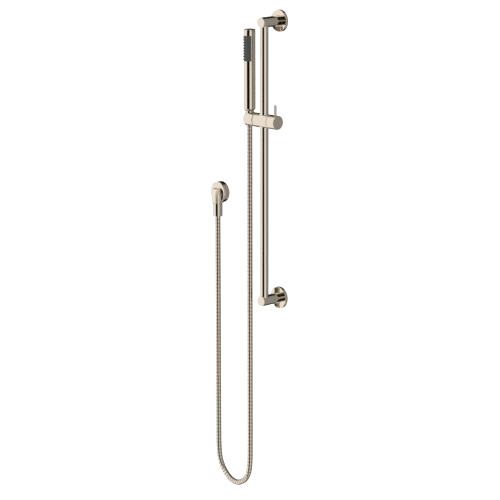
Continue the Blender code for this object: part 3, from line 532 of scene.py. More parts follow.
def gridFaces(rows, columns, loopRows, firstPole, lastPole):
    # index arrays for a grid closed round its columns, its end rows shut by poles or joined to each other
    i, j = np.meshgrid(np.arange(rows if loopRows else rows - 1), np.arange(columns), indexing="ij")
    nextRow, nextColumn = (i + 1) % rows, (j + 1) % columns
    here, there = i * columns, nextRow * columns
    quads = np.stack([here + j, here + nextColumn, there + nextColumn, there + j], -1)
    faces = [quads.reshape(-1, 4)]
    corners = np.stack([
        np.stack([i, j], -1), np.stack([i, j + 1], -1), np.stack([i + 1, j + 1], -1), np.stack([i + 1, j], -1)
    ], -2).reshape(-1, 2)
    around = np.arange(columns)
    following = (around + 1) % columns
    poles = []
    pole = rows * columns
    if firstPole:
        faces.append(np.stack([following, around, np.full(columns, pole)], -1))
        poles.append((0, np.stack([around + 1, around, around + 0.5], -1)))
        pole += 1
    if lastPole:
        base = (rows - 1) * columns
        faces.append(np.stack([base + around, base + following, np.full(columns, pole)], -1))
        poles.append((rows - 1, np.stack([around, around + 1, around + 0.5], -1)))
    return faces, corners, poles


def frameFor(axis):
    # two directions across the axis, right-handed with it
    along = np.array(axis, float)
    side = np.array([0.0, 0.0, 1.0]) if abs(along[2]) < 0.5 else np.array([1.0, 0.0, 0.0])
    across = np.cross(along, side)
    return side, across, along


def turnedMesh(name, corners, at, axis, segments=112, steps=7):
    # point = centre + r(t) * (cos u * side + sin u * across) + h(t) * axis, from a rounded outline (r, h)
    onAxis = corners[0][0] == 0
    outline, edge = roundOutline(corners, steps)
    if onAxis:
        poles = outline[[0, -1]]
        outline, edge = outline[1:-1], edge[1:-1]
    side, across, along = frameFor(axis)
    turn = circle(segments)
    around = np.cos(turn)[:, None] * side + np.sin(turn)[:, None] * across
    points = (outline[:, 0, None, None] * around[None] + outline[:, 1, None, None] * along).reshape(-1, 3)
    faces, places, caps = gridFaces(len(outline), segments, not onAxis, onAxis, onAxis)
    length = runLength(np.vstack([outline, outline[:1]]))
    widest = outline[:, 0].max()
    perColumn = 2 * math.pi * widest / segments
    uv = [np.stack([places[:, 1] * perColumn, length[places[:, 0]]], -1)]
    marks = np.repeat(edge, segments)
    if onAxis:
        points = np.vstack([points, poles[:, 1, None] * along])
        marks = np.append(marks, [0, 0])
        for (row, columns), tip in zip(caps, poles):
            far = length[row] + np.array([0, 0, 1]) * abs(outline[row, 0]) * (1 if row else -1)
            far = np.broadcast_to(far, columns.shape)
            uv.append(np.stack([columns * perColumn, far], -1).reshape(-1, 2))
    return fillMesh(name, points + at, faces, np.vstack(uv), {"edge": marks})


def linkedObject(name, mesh):
    thing = bpy.data.objects.new(name, mesh)
    bpy.context.scene.collection.objects.link(thing)
    return thing


def addPiece(name, mesh, finish, body, slotName, *nodes):
    piece = linkedObject(name, mesh)
    if not mesh.materials:
        mesh.materials.append(finish)
    if body:
        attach(piece, body)
    if nodes:
        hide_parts(*nodes)
    return piece


def applied(thing, helpers=()):
    # the object's mesh with its modifiers applied and its own sharp edges; the object and its helpers go
    graph = bpy.context.evaluated_depsgraph_get()
    made = bpy.data.meshes.new_from_object(thing.evaluated_get(graph))
    for spent in [*helpers, thing]:
        bpy.data.objects.remove(spent, do_unlink=True)
    made.shade_smooth()
    made.set_sharp_from_angle(angle=gridShape["cutSharpAngle"])
    return made


def cutBy(mesh, cutters, operation="DIFFERENCE"):
    thing = linkedObject(mesh.name, mesh)
    helpers = [linkedObject("cutter", cutter) for cutter in cutters]
    for helper in helpers:
        modifier = thing.modifiers.new("cut", "BOOLEAN")
        modifier.operation = operation
        modifier.solver = "EXACT"
        modifier.object = helper
    return applied(thing, helpers)


def thicken(mesh, wall):
    # the open skin given a wall on its inner side
    thing = linkedObject(mesh.name, mesh)
    modifier = thing.modifiers.new("wall", "SOLIDIFY")
    modifier.thickness = wall
    modifier.offset = -1
    modifier.use_even_offset = True
    return applied(thing)


def rod(name, radius, low, high, at, axis, segments=96):
    outline = [(0, low, 0), (radius, low, 0), (radius, high, 0), (0, high, 0)]
    return turnedMesh(name, outline, at, axis, segments)


toFront, toRight, up = (0, -1, 0), (1, 0, 0), (0, 0, 1)

# the hose comes first
hoseShape = {
    "radius": 6.9 * mm,
    "ribPitch": 9.4 * mm,
    "ribDepth": 0.8 * mm,
    # one turn of the strip, as (place along it, depth share): wide ridge, groove, narrow lower ridge, groove
    "ribProfile": [
        (0.0, 1.0), (0.02, 0.4), (0.05, 0.07), (0.09, 0.0), (0.34, 0.0), (0.62, 0.0), (0.66, 0.07),
        (0.69, 0.4), (0.71, 1.0), (0.74, 1.0), (0.76, 0.5), (0.80, 0.25), (0.90, 0.25), (0.94, 0.5),
        (0.96, 1.0),
    ],
    "segments": 28,
    "smoothSteps": 40,  # between two points of the route
    "spacing": 1.5 * mm,  # between the points of the smoothed route
    "bendLength": 150.0 * mm,
    "keepOff": 7,  # mm under the split in which the right stretch takes no point of its own
    "stiffTop": 48.0 * mm,  # the stretch under the holder
    "sleeveLength": 45.0 * mm,
    "sleeveRadius": 5.8 * mm,
    "sleeveTurns": 5,
    "sleevePoints": 81,
    "sleeveTop": 0.1 * mm,  # below the bend's own top
    "lengths": (0.733, 0.839, 0.150),
    # (share of the way from the elbow's outlet to the cradle, height in mm), as the solids have it
    "left": [
        (0.0, -560), (0.0, -640), (0.0, -740), (0.0, -840), (0.0, -940), (0.0, -1030), (0.001, -1090),
        (0.008, -1130), (0.04, -1158), (0.12, -1179), (0.24, -1193.5), (0.37, -1202.4), (0.48, -1205),
        (0.5, -1205),
    ],
    "right": [
        (0.5, -1205), (0.52, -1205), (0.63, -1202.4), (0.76, -1193.5), (0.88, -1179), (0.96, -1158),
        (0.992, -1130), (0.999, -1090), (1.0, -1030), (1.0, -940), (1.0, -840), (1.0, -740), (1.0, -640),
        (1.0, -540), (1.0, -450),
    ],
}


def routePoints(pairs):
    # share s and height: outlet + s * (cradle - outlet) across, at that height
    pairs = np.array(pairs, float)
    points = outletAt + pairs[:, :1] * (gripAt - outletAt)
    points[:, 2] = pairs[:, 1]
    return points


def smoothLine(points, spacing):
    # Catmull-Rom through the points, then read again at even steps of length
    ends = np.vstack([2 * points[0] - points[1], points, 2 * points[-1] - points[-2]])
    s = np.linspace(0, 1, hoseShape["smoothSteps"], endpoint=False)[:, None]
    spans = [
        0.5 * (2 * b + (c - a) * s + (2 * a - 5 * b + 4 * c - d) * s**2 + (3 * b - a - 3 * c + d) * s**3)
        for a, b, c, d in zip(ends, ends[1:], ends[2:], ends[3:])
    ]
    line = np.vstack(spans + [points[-1:]])
    run = runLength(line)
    count = max(2, round(run[-1] / spacing) + 1)
    even = np.linspace(0, run[-1], count)
    return np.stack([np.interp(even, run, line[:, k]) for k in range(3)], -1), even


def ribbedTube(name, line, run, radius, pitch):
    # radius = R - depth * the profile's share, at each place the profile names in each turn of the strip
    profile = np.array(hoseShape["ribProfile"])
    turns = round(run[-1] / pitch)
    places = np.append((np.arange(turns)[:, None] + profile[:, 0]).ravel() * pitch, run[-1])
    phase = np.append(np.tile(profile[:, 1], turns), 1.0)
    line = np.stack([np.interp(places, run, line[:, k]) for k in range(3)], -1)
    run = places
    rings = radius - hoseShape["ribDepth"] * phase
    along = unit(np.gradient(line, axis=0))
    flat = gripAt - outletAt
    flat[2] = 0
    side = np.cross(flat / np.linalg.norm(flat), [0, 0, 1])
    across = np.cross(along, side)
    turn = circle(hoseShape["segments"])
    around = np.cos(turn)[None, :, None] * side + np.sin(turn)[None, :, None] * across[:, None]
    points = (line[:, None] + rings[:, None, None] * around).reshape(-1, 3)
    faces, corners, caps = gridFaces(len(line), len(turn), False, True, True)
    points = np.vstack([points, line[:1], line[-1:]])
    perColumn = 2 * math.pi * radius / len(turn)
    uv = [np.stack([corners[:, 1] * perColumn, run[corners[:, 0]]], -1)]
    for row, columns in caps:
        uv.append(np.stack([columns * perColumn, np.full(columns.shape, run[row])], -1).reshape(-1, 2))
    # the depth share in each groove also places the painted shade there
    grooveShade = np.append(np.repeat(phase, len(turn)), [0, 0])
    return fillMesh(name, points, faces, np.vstack(uv), {"edge": 0 * grooveShade, "grooveShade": grooveShade})


def addHose():
    shape = hoseShape
    # the route's heights are in mm until the points are made
    gap = partGap / mm
    lowerEnd = nutLow[2] / mm - gap
    upperEnd = boxOf("handset_ferrule")[0][2] / mm - gap
    split = upperEnd - shape["bendLength"] / mm
    left = [(0, lowerEnd)] + [p for p in shape["left"] if p[1] < lowerEnd]
    right = [p for p in shape["right"] if p[1] < split - shape["keepOff"]] + [(1, split - gap)]
    bend = [(1, split), (1, (split + upperEnd) / 2), (1, upperEnd)]
    made = []
    for name, route in (("hoseWallSide", left), ("hoseSliderSide", right), ("hoseBend", bend)):
        points = routePoints(route)
        points[:, 2] *= mm
        line, run = smoothLine(points, shape["spacing"])
        pitch = run[-1] / round(run[-1] / shape["ribPitch"])
        tube = ribbedTube(name, line, run, shape["radius"], pitch)
        made.append((addPiece(name, tube, hoseMetal, None, "hose_metal"), line))
    (wallSide, wallLine), (sliderSide, sliderLine), (bendPiece, bendLine) = made
    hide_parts("hose_wall_side")
    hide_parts("hose_slider_side")
    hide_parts("hose_bend")

    def over(height):
        return (0.0, 0.0, float(height))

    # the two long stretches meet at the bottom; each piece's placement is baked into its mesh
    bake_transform(wallSide)
    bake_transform(sliderSide)
    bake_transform(bendPiece)

    sleeveTop, sleeveLength, count = upperEnd * mm, shape["sleeveLength"], shape["sleevePoints"]
    sleeveLine = np.linspace(
        [*gripAt[:2], sleeveTop - sleeveLength], [*gripAt[:2], sleeveTop - shape["sleeveTop"]], count
    )
    sleeveRun = np.linspace(0, sleeveLength, count)
    sleevePitch = sleeveLength / shape["sleeveTurns"]
    sleeve = ribbedTube("hoseEndSleeve", sleeveLine, sleeveRun, shape["sleeveRadius"], sleevePitch)
    sleevePiece = addPiece("hoseEndSleeve", sleeve, hoseMetal, "hose_end", "hose_metal")


addHose()
print("hose is made")

# rail and its two brackets
railShape = {"wall": 1.5 * mm, "edge": 0.3 * mm}


def addRail():
    low, high = railLow[2], railHigh[2]
    inner, edge = railRadius - railShape["wall"], railShape["edge"]
    outline = [(inner, low, 0), (railRadius, low, edge), (railRadius, high, edge), (inner, high, 0)]
    rail = turnedMesh("railTube", outline, railAt, up)
    addPiece("railTube", rail, champagneTube, "root", "champagne_metal", "rail_tube")


postShape = {"noseFillet": 0.7 * mm, "boreEnd": 3.0 * mm, "segments": 144}
coverShape = {
    "wall": 1.4 * mm, "fillet": 1.2 * mm, "footEdge": 0.2 * mm, "lipEdge": 0.3 * mm, "segments": 144,
}


def addBracket(side, towardsRail):
    low, high = boxOf(side + "_post")
    coverLow, coverHigh = boxOf(side + "_flange_cover")
    radius = (high[0] - low[0]) / 2
    at = np.array([0, 0, (coverLow[2] + coverHigh[2]) / 2])
    post = turnedMesh(side + "Post", [
        (0, -high[1], 0), (radius, -high[1], 0), (radius, -low[1], postShape["noseFillet"]), (0, -low[1], 0),
    ], at, toFront, postShape["segments"])
    # the rail's bore runs from just past the post's axis out through the side that faces the rail
    first, last = sorted([-towardsRail * postShape["boreEnd"], towardsRail * 2 * radius])
    post = cutBy(post, [rod("bore", railRadius + partGap, first, last, np.array([0, railAt[1], at[2]]), up)])
    addPiece(side + "Post", post, champagneTurned, "root", "champagne_metal", side + "_post")
    outer, depth, wall = (coverHigh[0] - coverLow[0]) / 2, -coverLow[1], coverShape["wall"]
    hole = radius + partGap
    cover = turnedMesh(side + "FlangeCover", [
        (outer - wall, -coverHigh[1], 0), (outer, -coverHigh[1], coverShape["footEdge"]),
        (outer, depth, coverShape["fillet"]), (hole, depth, coverShape["lipEdge"]),
        (hole, depth - wall, 0), (outer - wall, depth - wall, 0),
    ], at, toFront, coverShape["segments"])
    addPiece(side + "FlangeCover", cover, champagneTurned, "root", "champagne_metal", side + "_flange_cover")


addRail()
addBracket("upper", -1)
addBracket("lower", 1)
print("rail and brackets are made")

# slider: clamp, bush, washer, knob with its lever, holder
sliderShape = {"fillet": 0.9 * mm, "segments": 160}
clampShape = {"axle": 8.7 * mm, "axleEdge": 0.4 * mm}


def addClamp():
    fillet, axle = sliderShape["fillet"], clampShape["axle"]
    axleLow, left, right = clampLow[0], boxOf("friction_washer")[1][0] + partGap, clampHigh[0]
    radius = (clampHigh[2] - clampLow[2]) / 2
    body = turnedMesh("sliderBody", [
        (0, axleLow, 0), (axle, axleLow, clampShape["axleEdge"]), (axle, left, 0),
        (radius, left, fillet), (radius, right, fillet), (0, right, 0),
    ], sliderAt, toRight, sliderShape["segments"])
    bushLow, bushHigh = boxOf("rail_bush")
    bushOuter = (bushHigh[0] - bushLow[0]) / 2
    body = cutBy(body, [rod("bore", bushOuter + partGap, -2 * radius, 2 * radius, sliderAt, up)])
    addPiece("sliderBody", body, champagneTurned, "slider", "champagne_metal", "slider_body")
    return radius, bushOuter


bushShape = {"segments": 96, "sunk": 0.6 * mm}


def addBush(radius, outer):
    # four edges per direction u, whose ends follow the clamp's round: height = sqrt(R^2 - (r sin u)^2)
    turn = circle(bushShape["segments"])
    inner = railRadius + partGap
    radii = np.array([inner, outer, outer, inner])
    ends = np.array([-1, -1, 1, 1])
    height = ends[:, None] * np.sqrt((radius - bushShape["sunk"])**2 - (radii[:, None] * np.sin(turn))**2)
    points = np.stack([radii[:, None] * np.cos(turn), radii[:, None] * np.sin(turn), height], -1)
    faces, _, _ = gridFaces(len(radii), len(turn), True, False, False)
    bush = fillMesh("railBush", points.reshape(-1, 3) + sliderAt, faces)
    addPiece("railBush", bush, whiteAcetal, "slider", "white_plastic", "rail_bush")


washerShape = {"edge": 0.25 * mm}


def addWasher():
    low, high = boxOf("friction_washer")
    hole, outer, edge = clampShape["axle"] + partGap, (high[2] - low[2]) / 2, washerShape["edge"]
    washer = turnedMesh("frictionWasher", [
        (hole, low[0], 0), (outer, low[0], edge), (outer, high[0], edge), (hole, high[0], 0),
    ], sliderAt * [0, 1, 1], toRight)
    addPiece("frictionWasher", washer, sealRubber, "slider", "seal_rubber", "friction_washer")


def sliderDrum(name, node, radius):
    # the plain drum with rounded rims that the knob and the holder are cut from
    low, high = boxOf(node)
    fillet = sliderShape["fillet"]
    return turnedMesh(name, [
        (0, low[0], 0), (radius, low[0], fillet), (radius, high[0], fillet), (0, high[0], 0),
    ], sliderAt * [0, 1, 1], toRight, sliderShape["segments"])


knobShape = {"grubHole": 2.3 * mm, "grubBelow": 3.0 * mm, "holeSegments": 48}
leverShape = {"footEdge": 0.3 * mm, "fillet": 0.9 * mm, "segments": 64}


def addKnob(radius):
    leverLow, leverHigh = boxOf("lock_lever")
    leverAt = np.array([(leverLow[0] + leverHigh[0]) / 2, sliderAt[1], 0])
    leverRadius = (leverHigh[0] - leverLow[0]) / 2
    grubLow, grubHigh = boxOf("knob_grub_screw")
    grubAt = np.array([(grubLow[0] + grubHigh[0]) / 2, sliderAt[1], 0])
    sides, grubFoot = knobShape["holeSegments"], grubLow[2] - knobShape["grubBelow"]
    knob = cutBy(sliderDrum("lockKnob", "lock_knob", radius), [
        rod("hole", leverRadius + partGap, leverLow[2] - partGap, leverHigh[2], leverAt, up, sides),
        rod("hole", knobShape["grubHole"], grubFoot, grubHigh[2], grubAt, up, sides),
    ])
    addPiece("lockKnob", knob, champagneTurned, "lock_knob", "champagne_metal", "lock_knob")
    lever = turnedMesh("lockLever", [
        (0, leverLow[2], 0), (leverRadius, leverLow[2], leverShape["footEdge"]),
        (leverRadius, leverHigh[2], leverShape["fillet"]), (0, leverHigh[2], 0),
    ], leverAt, up, leverShape["segments"])
    addPiece("lockLever", lever, champagneTube, "lock_knob", "champagne_metal", "lock_lever")


holderShape = {
    "coneTop": 10.9 * mm, "coneBottom": 9.85 * mm, "coneOver": 2.0 * mm, "coneSegments": 128,
    "axleHole": 9.0 * mm, "axleLead": 40.0 * mm, "axleStop": 18.0 * mm,
}


def addHolder(radius):
    shape = holderShape
    low, high = boxOf("holder_cradle")
    # the cone that holds the nut goes past the drum at both ends, at its own taper
    over = shape["coneOver"]
    taper = (shape["coneTop"] - shape["coneBottom"]) / (2 * radius)
    tall = radius + over
    cone = turnedMesh("cone", [
        (0, -tall, 0), (shape["coneBottom"] - taper * over, -tall, 0),
        (shape["coneTop"] + taper * over, tall, 0), (0, tall, 0),
    ], gripAt, up, shape["coneSegments"])
    lead = shape["axleLead"]
    axleAt = np.array([clampLow[0] - partGap + lead, sliderAt[1], sliderAt[2]])
    axleRoom = rod("axle", shape["axleHole"], -lead, high[0] - low[0] - shape["axleStop"], axleAt, toRight)
    holder = cutBy(sliderDrum("holderCradle", "holder_cradle", radius), [cone, axleRoom])
    addPiece("holderCradle", holder, champagneTurned, "holder", "champagne_metal", "holder_cradle")


clampRadius, bushRadius = addClamp()
addBush(clampRadius, bushRadius)
addWasher()
addKnob(clampRadius)
addHolder(clampRadius)
print("slider is made")

# handset: cone nut, tube, cap and spray face
coneNutShape = {
    "top": 10.45 * mm, "bottom": 9.4 * mm, "bore": 6.3 * mm, "mouth": 8.63 * mm, "socket": 17.6 * mm,
    "footEdge": 0.5 * mm, "topEdge": 0.2 * mm,
}


def addConeNut():
    shape = coneNutShape
    low, high = boxOf("cone_nut")
    edge, floor = shape["topEdge"], high[2] - shape["socket"]
    nut = turnedMesh("coneNut", [
        (shape["bore"], low[2], 0), (shape["bottom"], low[2], shape["footEdge"]),
        (shape["top"], high[2], edge), (shape["mouth"], high[2], edge), (shape["mouth"], floor, 0),
        (shape["bore"], floor, 0),
    ], gripAt * [1, 1, 0], up)
    addPiece("coneNut", nut, champagneTurned, "handset", "champagne_metal", "cone_nut")


windowShape = {"half": math.radians(62), "drop": 15.7 * mm, "height": 63.2 * mm}
tubeShape = {
    "wall": 1.1 * mm, "mouth": 8.63 * mm, "footEdge": 0.2 * mm, "footChamfer": 3.6 * mm,
    "footFillet": 2.2 * mm, "straightFrom": 8.0 * mm, "topEdge": 0.15 * mm, "topDrop": 0.3 * mm,
    "windowColumns": 48, "restColumns": 96, "lowerRows": 7, "windowRows": 8, "close": 0.001 * mm,
}


def addTube(radius, panelLow, panelTop):
    shape = tubeShape
    low, high = tubeLow[2], tubeHigh[2]
    mouth, foot, chamfer = shape["mouth"], radius - shape["footChamfer"], low + shape["footChamfer"]
    outline, edge = roundOutline([
        (mouth, low, 0), (foot, low, shape["footEdge"]), (radius, chamfer, shape["footFillet"]),
        (radius, high, 0),
    ])
    fillet = outline[1:-1]
    heights = np.concatenate([
        np.linspace(fillet[-1, 1] + shape["straightFrom"], panelLow, shape["lowerRows"] + 1),
        np.linspace(panelLow, panelTop, shape["windowRows"] + 1)[1:], [high - shape["topDrop"]],
    ])
    straight = np.stack([np.full(len(heights), radius), heights], -1)
    outline = np.vstack([[mouth, low], fillet, straight, [radius - shape["topEdge"], high]])
    edge = np.concatenate([[0], edge[1:-1], np.zeros(len(heights)), [1]])
    # a closed grid whose columns line up with the window's sides; the window's faces are left out
    half, across = windowShape["half"], shape["windowColumns"]
    window = np.linspace(-half, half, across + 1)
    rest = np.linspace(half, 2 * math.pi - half, shape["restColumns"] + 1)[1:-1]
    turn = np.concatenate([window, rest])
    around = np.stack([np.sin(turn), -np.cos(turn), 0 * turn], -1)
    points = outline[:, 0, None, None] * around[None] + outline[:, 1, None, None] * np.array(up, float)
    points = points.reshape(-1, 3) + gripAt * [1, 1, 0]
    faces, corners, _ = gridFaces(len(outline), len(turn), False, False, False)
    rows, columns = corners.reshape(-1, 4, 2)[:, 0].T
    above = outline[rows, 1] > panelLow - shape["close"]
    below = outline[rows, 1] < panelTop - shape["close"]
    kept = ~((columns < across) & above & below)
    run = runLength(outline)
    uv = np.stack([corners[:, 1] / len(turn) * 2 * math.pi * radius, run[corners[:, 0]]], -1)
    uv = uv.reshape(-1, 4, 2)[kept].reshape(-1, 2)
    skin = fillMesh("handsetTube", points, [faces[0][kept]], uv, {"edge": np.repeat(edge, len(turn))})
    tube = thicken(skin, shape["wall"])
    addPiece("handsetTube", tube, champagneTube, "handset", "champagne_metal", "handset_tube")


capShape = {"rim": 3.0 * mm, "fillet": 2.0 * mm, "edge": 0.25 * mm, "inset": 1.9 * mm}


def addCap(radius):
    low, high = boxOf("handset_cap")
    fit, seat = radius - capShape["inset"], high[2] - capShape["rim"]
    cap = turnedMesh("handsetCap", [
        (0, low[2], 0), (fit, low[2], 0), (fit, seat, 0), (radius, seat, capShape["edge"]),
        (radius, high[2], capShape["fillet"]), (0, high[2], 0),
    ], gripAt * [1, 1, 0], up)
    addPiece("handsetCap", cap, champagneTurned, "handset", "champagne_metal", "handset_cap")


sprayShape = {
    "sink": 0.15 * mm, "thick": 2.6 * mm, "soft": 0.35 * mm, "softSteps": (0.15, 0.5, 1.0),
    "columns": 61, "rows": 60, "nubRows": 9, "nubColumns": 5, "nubSpread": math.radians(44),
    "nubMargin": 3.6 * mm, "nubRadius": 1.35 * mm, "nubHeight": 2.55 * mm, "nubSides": 14,
    # a nub's outline from its foot to the dimple: (share of its radius, share of its height, plus a height)
    "nubOutline": [
        (1.3, 0, -0.12 * mm), (1.08, 0, 0.1 * mm), (0.98, 0, 0.35 * mm), (0.86, 0.75, 0), (0.76, 0.95, 0),
        (0.6, 1, 0), (0.34, 0.98, 0), (0.27, 0.7, 0),
    ],
}


def sprayPlate(radius, low, high):
    # a plate bent round the tube's axis, whose outer skin ends at its border in a quarter round of size soft
    shape = sprayShape
    half, soft = windowShape["half"] - partGap / radius, shape["soft"]
    steps = soft * np.array(shape["softSteps"])
    turn = np.linspace(-half, half, shape["columns"])
    turn = np.sort(np.concatenate([turn, -half + steps / radius, half - steps / radius]))
    heights = np.linspace(low, high, shape["rows"])
    heights = np.sort(np.concatenate([heights, low + steps, high - steps]))
    inU = np.clip((half - np.abs(turn)) * radius / soft, 0, 1)
    inV = np.clip(np.minimum(heights - low, high - heights) / soft, 0, 1)
    inside = np.minimum(inU[None, :], inV[:, None])
    reach = radius - soft * (1 - np.sqrt(1 - (1 - inside)**2))
    tall = np.broadcast_to(heights[:, None], reach.shape)
    outer = np.stack([reach * np.sin(turn), -reach * np.cos(turn), tall], -1)
    inner = outer.copy()
    inner[..., :2] *= ((radius - shape["thick"]) / reach)[..., None]
    rows, columns = reach.shape
    size = rows * columns
    index = np.arange(size).reshape(rows, columns)
    front = np.stack([index[:-1, :-1], index[:-1, 1:], index[1:, 1:], index[1:, :-1]], -1).reshape(-1, 4)
    rim = np.concatenate([index[0], index[1:, -1], index[-1, -2::-1], index[-2:0:-1, 0]])
    follow = np.roll(rim, -1)
    sides = np.stack([rim + size, follow + size, follow, rim], -1)
    plate = np.vstack([outer.reshape(-1, 3), inner.reshape(-1, 3)])
    return plate, [front, front[:, ::-1] + size, sides]


def addSprayFace(radius, low, high):
    # the plate, and nubs turned from one outline, each pointing straight out
    shape = sprayShape
    plate, faces = sprayPlate(radius, low, high)
    step = (high - low - 2 * shape["nubMargin"]) / (shape["nubRows"] - 1)
    r, h = shape["nubRadius"], shape["nubHeight"]
    profile = np.array([(r * wide, h * tall + plus) for wide, tall, plus in shape["nubOutline"]])
    nubTurn = circle(shape["nubSides"])
    nubFaces, _, _ = gridFaces(len(profile), len(nubTurn), False, True, True)
    points, triangles, offset = [plate], [], len(plate)
    for row in range(shape["nubRows"]):
        for column in range(shape["nubColumns"]):
            angle = shape["nubSpread"] * (2 * column / (shape["nubColumns"] - 1) - 1)
            out = np.array([math.sin(angle), -math.cos(angle), 0])
            side = np.array([math.cos(angle), math.sin(angle), 0])
            centre = np.array([0, 0, low + shape["nubMargin"] + row * step])
            ring = np.cos(nubTurn)[:, None] * side + np.sin(nubTurn)[:, None] * np.cross(out, side)
            nub = centre + profile[:, 0, None, None] * ring[None] + (radius + profile[:, 1, None, None]) * out
            tips = [centre + (radius + profile[end, 1]) * out for end in (0, -1)]
            points.append(np.vstack([nub.reshape(-1, 3), tips]))
            faces.append(nubFaces[0] + offset)
            triangles += [nubFaces[1] + offset, nubFaces[2] + offset]
            offset += len(points[-1])
    mesh = fillMesh("sprayFace", np.vstack(points) + gripAt * [1, 1, 0], faces + triangles)
    addPiece("sprayFace", mesh, sprayRubber, "handset", "nozzle_rubber", "nozzle_panel")


def addHandset():
    radius = (tubeHigh[0] - tubeLow[0]) / 2
    panelTop = boxOf("handset_cap")[1][2] - windowShape["drop"]
    panelLow = panelTop - windowShape["height"]
    addTube(radius, panelLow, panelTop)
    addCap(radius)
    addSprayFace(radius - sprayShape["sink"], panelLow + partGap, panelTop - partGap)


addConeNut()
addHandset()
print("handset is made")

# wall elbow, the nut under it and the valve's spring
elbowShape = {
    "radius": 27.2 * mm, "depth": 17.0 * mm, "rimFillet": 2.4 * mm, "footEdge": 0.3 * mm, "segments": 160,
    "tongueHalf": 8.0 * mm, "tongueRoot": 2.0 * mm, "tongueOut": 31.0 * mm, "tongueTop": 12.0 * mm,
    "tongueBend": 16.0 * mm, "tongueFoot": 2.5 * mm, "tongueFillet": 1.2 * mm, "tongueSteps": 16,
    "outletRadius": 12.0 * mm, "outletTop": 4.0 * mm, "outletBottom": 27.6 * mm, "outletEdge": 0.6 * mm,
    "neckRadius": 10.3 * mm, "neckLength": 16.0 * mm, "neckEdge": 0.3 * mm,
    "wayRadius": 6.0 * mm, "wayFrom": 5.0 * mm, "wayTop": 2.0 * mm, "cutOver": 1.0 * mm,
    "sealWidth": 3.0 * mm, "filletSteps": 6,
}


def elbowTongue():
    # a rounded slab whose side view is a quarter round at the top and straight at the front
    shape = elbowShape
    root, out = shape["tongueRoot"], shape["tongueOut"]
    top, bottom = shape["tongueTop"], -shape["outletBottom"]
    side, _ = roundOutline([
        (root, bottom, 0), (out, bottom, shape["tongueFoot"]), (out, top, shape["tongueBend"]),
        (root, top, 0),
    ], shape["tongueSteps"])
    # sections across X: the outline drawn in by f near both sides, f = fillet * (1 - sin), as a quarter round
    fillet = shape["tongueFillet"]
    quarter = np.linspace(0, math.pi / 2, shape["filletSteps"])
    wide = shape["tongueHalf"] - fillet * (1 - np.cos(quarter))
    pull = fillet * (1 - np.sin(quarter))
    xs = np.concatenate([-wide, wide[::-1]])
    pulls = np.concatenate([pull, pull[::-1]])
    middle = np.array([out / 2, (top + bottom) / 2])
    rings = side[None] + pulls[:, None, None] * unit(middle - side)[None]
    points = np.stack([np.broadcast_to(xs[:, None], rings.shape[:2]), -rings[..., 0], rings[..., 1]], -1)
    faces, _, _ = gridFaces(len(xs), len(side), False, True, True)
    tips = [[x, -middle[0], middle[1]] for x in (xs[0], xs[-1])]
    return fillMesh("tongue", np.vstack([points.reshape(-1, 3), tips]) + elbowAt, faces)


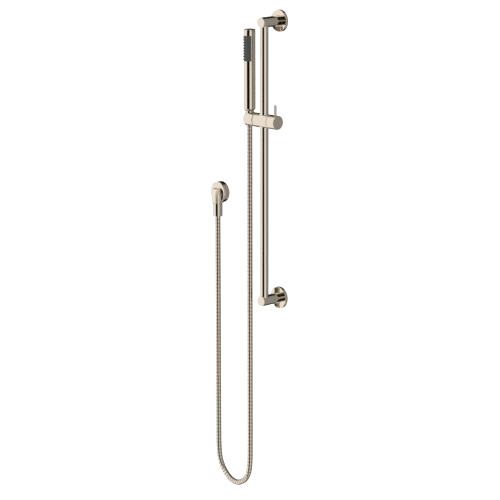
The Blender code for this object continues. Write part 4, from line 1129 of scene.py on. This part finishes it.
def addElbow():
    shape = elbowShape
    outer, depth = shape["radius"], shape["depth"]
    puck = turnedMesh("elbowPuck", [
        (0, 0, 0), (outer, 0, shape["footEdge"]), (outer, depth, shape["rimFillet"]), (0, depth, 0),
    ], elbowAt, toFront, shape["segments"])
    bottom, neck, top = -shape["outletBottom"], shape["neckRadius"], -shape["outletTop"]
    neckEnd = bottom - shape["neckLength"]
    outlet = turnedMesh("outlet", [
        (0, neckEnd, 0), (neck, neckEnd, shape["neckEdge"]), (neck, bottom, 0),
        (shape["outletRadius"], bottom, shape["outletEdge"]), (shape["outletRadius"], top, 0), (0, top, 0),
    ], outletAt, up)
    body = cutBy(puck, [elbowTongue(), outlet], "UNION")
    caseLow, caseHigh = boxOf("check_valve_case")
    nippleLow, nippleHigh = boxOf("inlet_nipple")
    sealLow, sealHigh = boxOf("elbow_wall_seal")
    over = shape["cutOver"]
    caseRoom = (caseHigh[0] - caseLow[0]) / 2 + partGap
    nippleRoom = (nippleHigh[0] - nippleLow[0]) / 2 + partGap
    sealOuter = (sealHigh[0] - sealLow[0]) / 2 + partGap
    sealInner = sealOuter - shape["sealWidth"] - 2 * partGap
    sealDeep = -sealLow[1] + partGap
    body = cutBy(body, [
        rod("outletWay", caseRoom, neckEnd - over, shape["wayTop"], outletAt, up),
        rod("nippleBore", nippleRoom, -over, -nippleLow[1] + partGap, elbowAt, toFront),
        rod("inletWay", shape["wayRadius"], shape["wayFrom"], -outletAt[1], elbowAt, toFront),
        turnedMesh("sealGroove", [
            (sealInner, -over, 0), (sealOuter, -over, 0), (sealOuter, sealDeep, 0), (sealInner, sealDeep, 0),
        ], elbowAt, toFront),
    ])
    addPiece("elbowBody", body, champagneCast, "root", "champagne_metal", "elbow_body")


wallNutShape = {
    "bore": 6.3 * mm, "mouth": 10.6 * mm, "floor": 13.0 * mm, "footFillet": 0.8 * mm, "topFillet": 0.6 * mm,
    "lipEdge": 0.2 * mm,
}


def addWallNut():
    shape = wallNutShape
    radius, bore, mouth = (nutHigh[0] - nutLow[0]) / 2, shape["bore"], shape["mouth"]
    floor = nutLow[2] + shape["floor"]
    nut = turnedMesh("wallHoseNut", [
        (bore, nutLow[2], 0), (radius, nutLow[2], shape["footFillet"]),
        (radius, nutHigh[2], shape["topFillet"]), (mouth, nutHigh[2], shape["lipEdge"]), (mouth, floor, 0),
        (bore, floor, 0),
    ], outletAt * [1, 1, 0], up)
    addPiece("wallHoseNut", nut, champagneTurned, "wall_nut", "champagne_metal", "wall_hose_nut")


springShape = {"wire": 0.35 * mm, "turns": 5, "stepsInTurn": 28, "sides": 10}


def addSpring():
    # helix of radius R about the outlet's axis, with rings: c + w (cos v radial + sin v (tangent x radial))
    low, high = boxOf("check_valve_spring")
    wire = springShape["wire"]
    radius = (high[0] - low[0]) / 2 - wire
    share = np.linspace(0, 1, springShape["turns"] * springShape["stepsInTurn"] + 1)
    angle = 2 * math.pi * springShape["turns"] * share
    radial = np.stack([np.cos(angle), np.sin(angle), 0 * angle], -1)
    line = outletAt * [1, 1, 0] + radius * radial
    line[:, 2] = low[2] + wire + (high[2] - low[2] - 2 * wire) * share
    tangent = unit(np.gradient(line, axis=0))
    across = np.cross(tangent, radial)
    turn = circle(springShape["sides"])
    around = np.cos(turn)[None, :, None] * radial[:, None] + np.sin(turn)[None, :, None] * across[:, None]
    points = np.vstack([(line[:, None] + wire * around).reshape(-1, 3), line[:1], line[-1:]])
    faces, _, _ = gridFaces(len(line), len(turn), False, True, True)
    coil = fillMesh("valveSpring", points, faces)
    spring = addPiece("valveSpring", coil, turnedSteel, None, "steel", "check_valve_spring")
    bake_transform(spring)


addElbow()
addWallNut()
addSpring()
print("elbow is made")
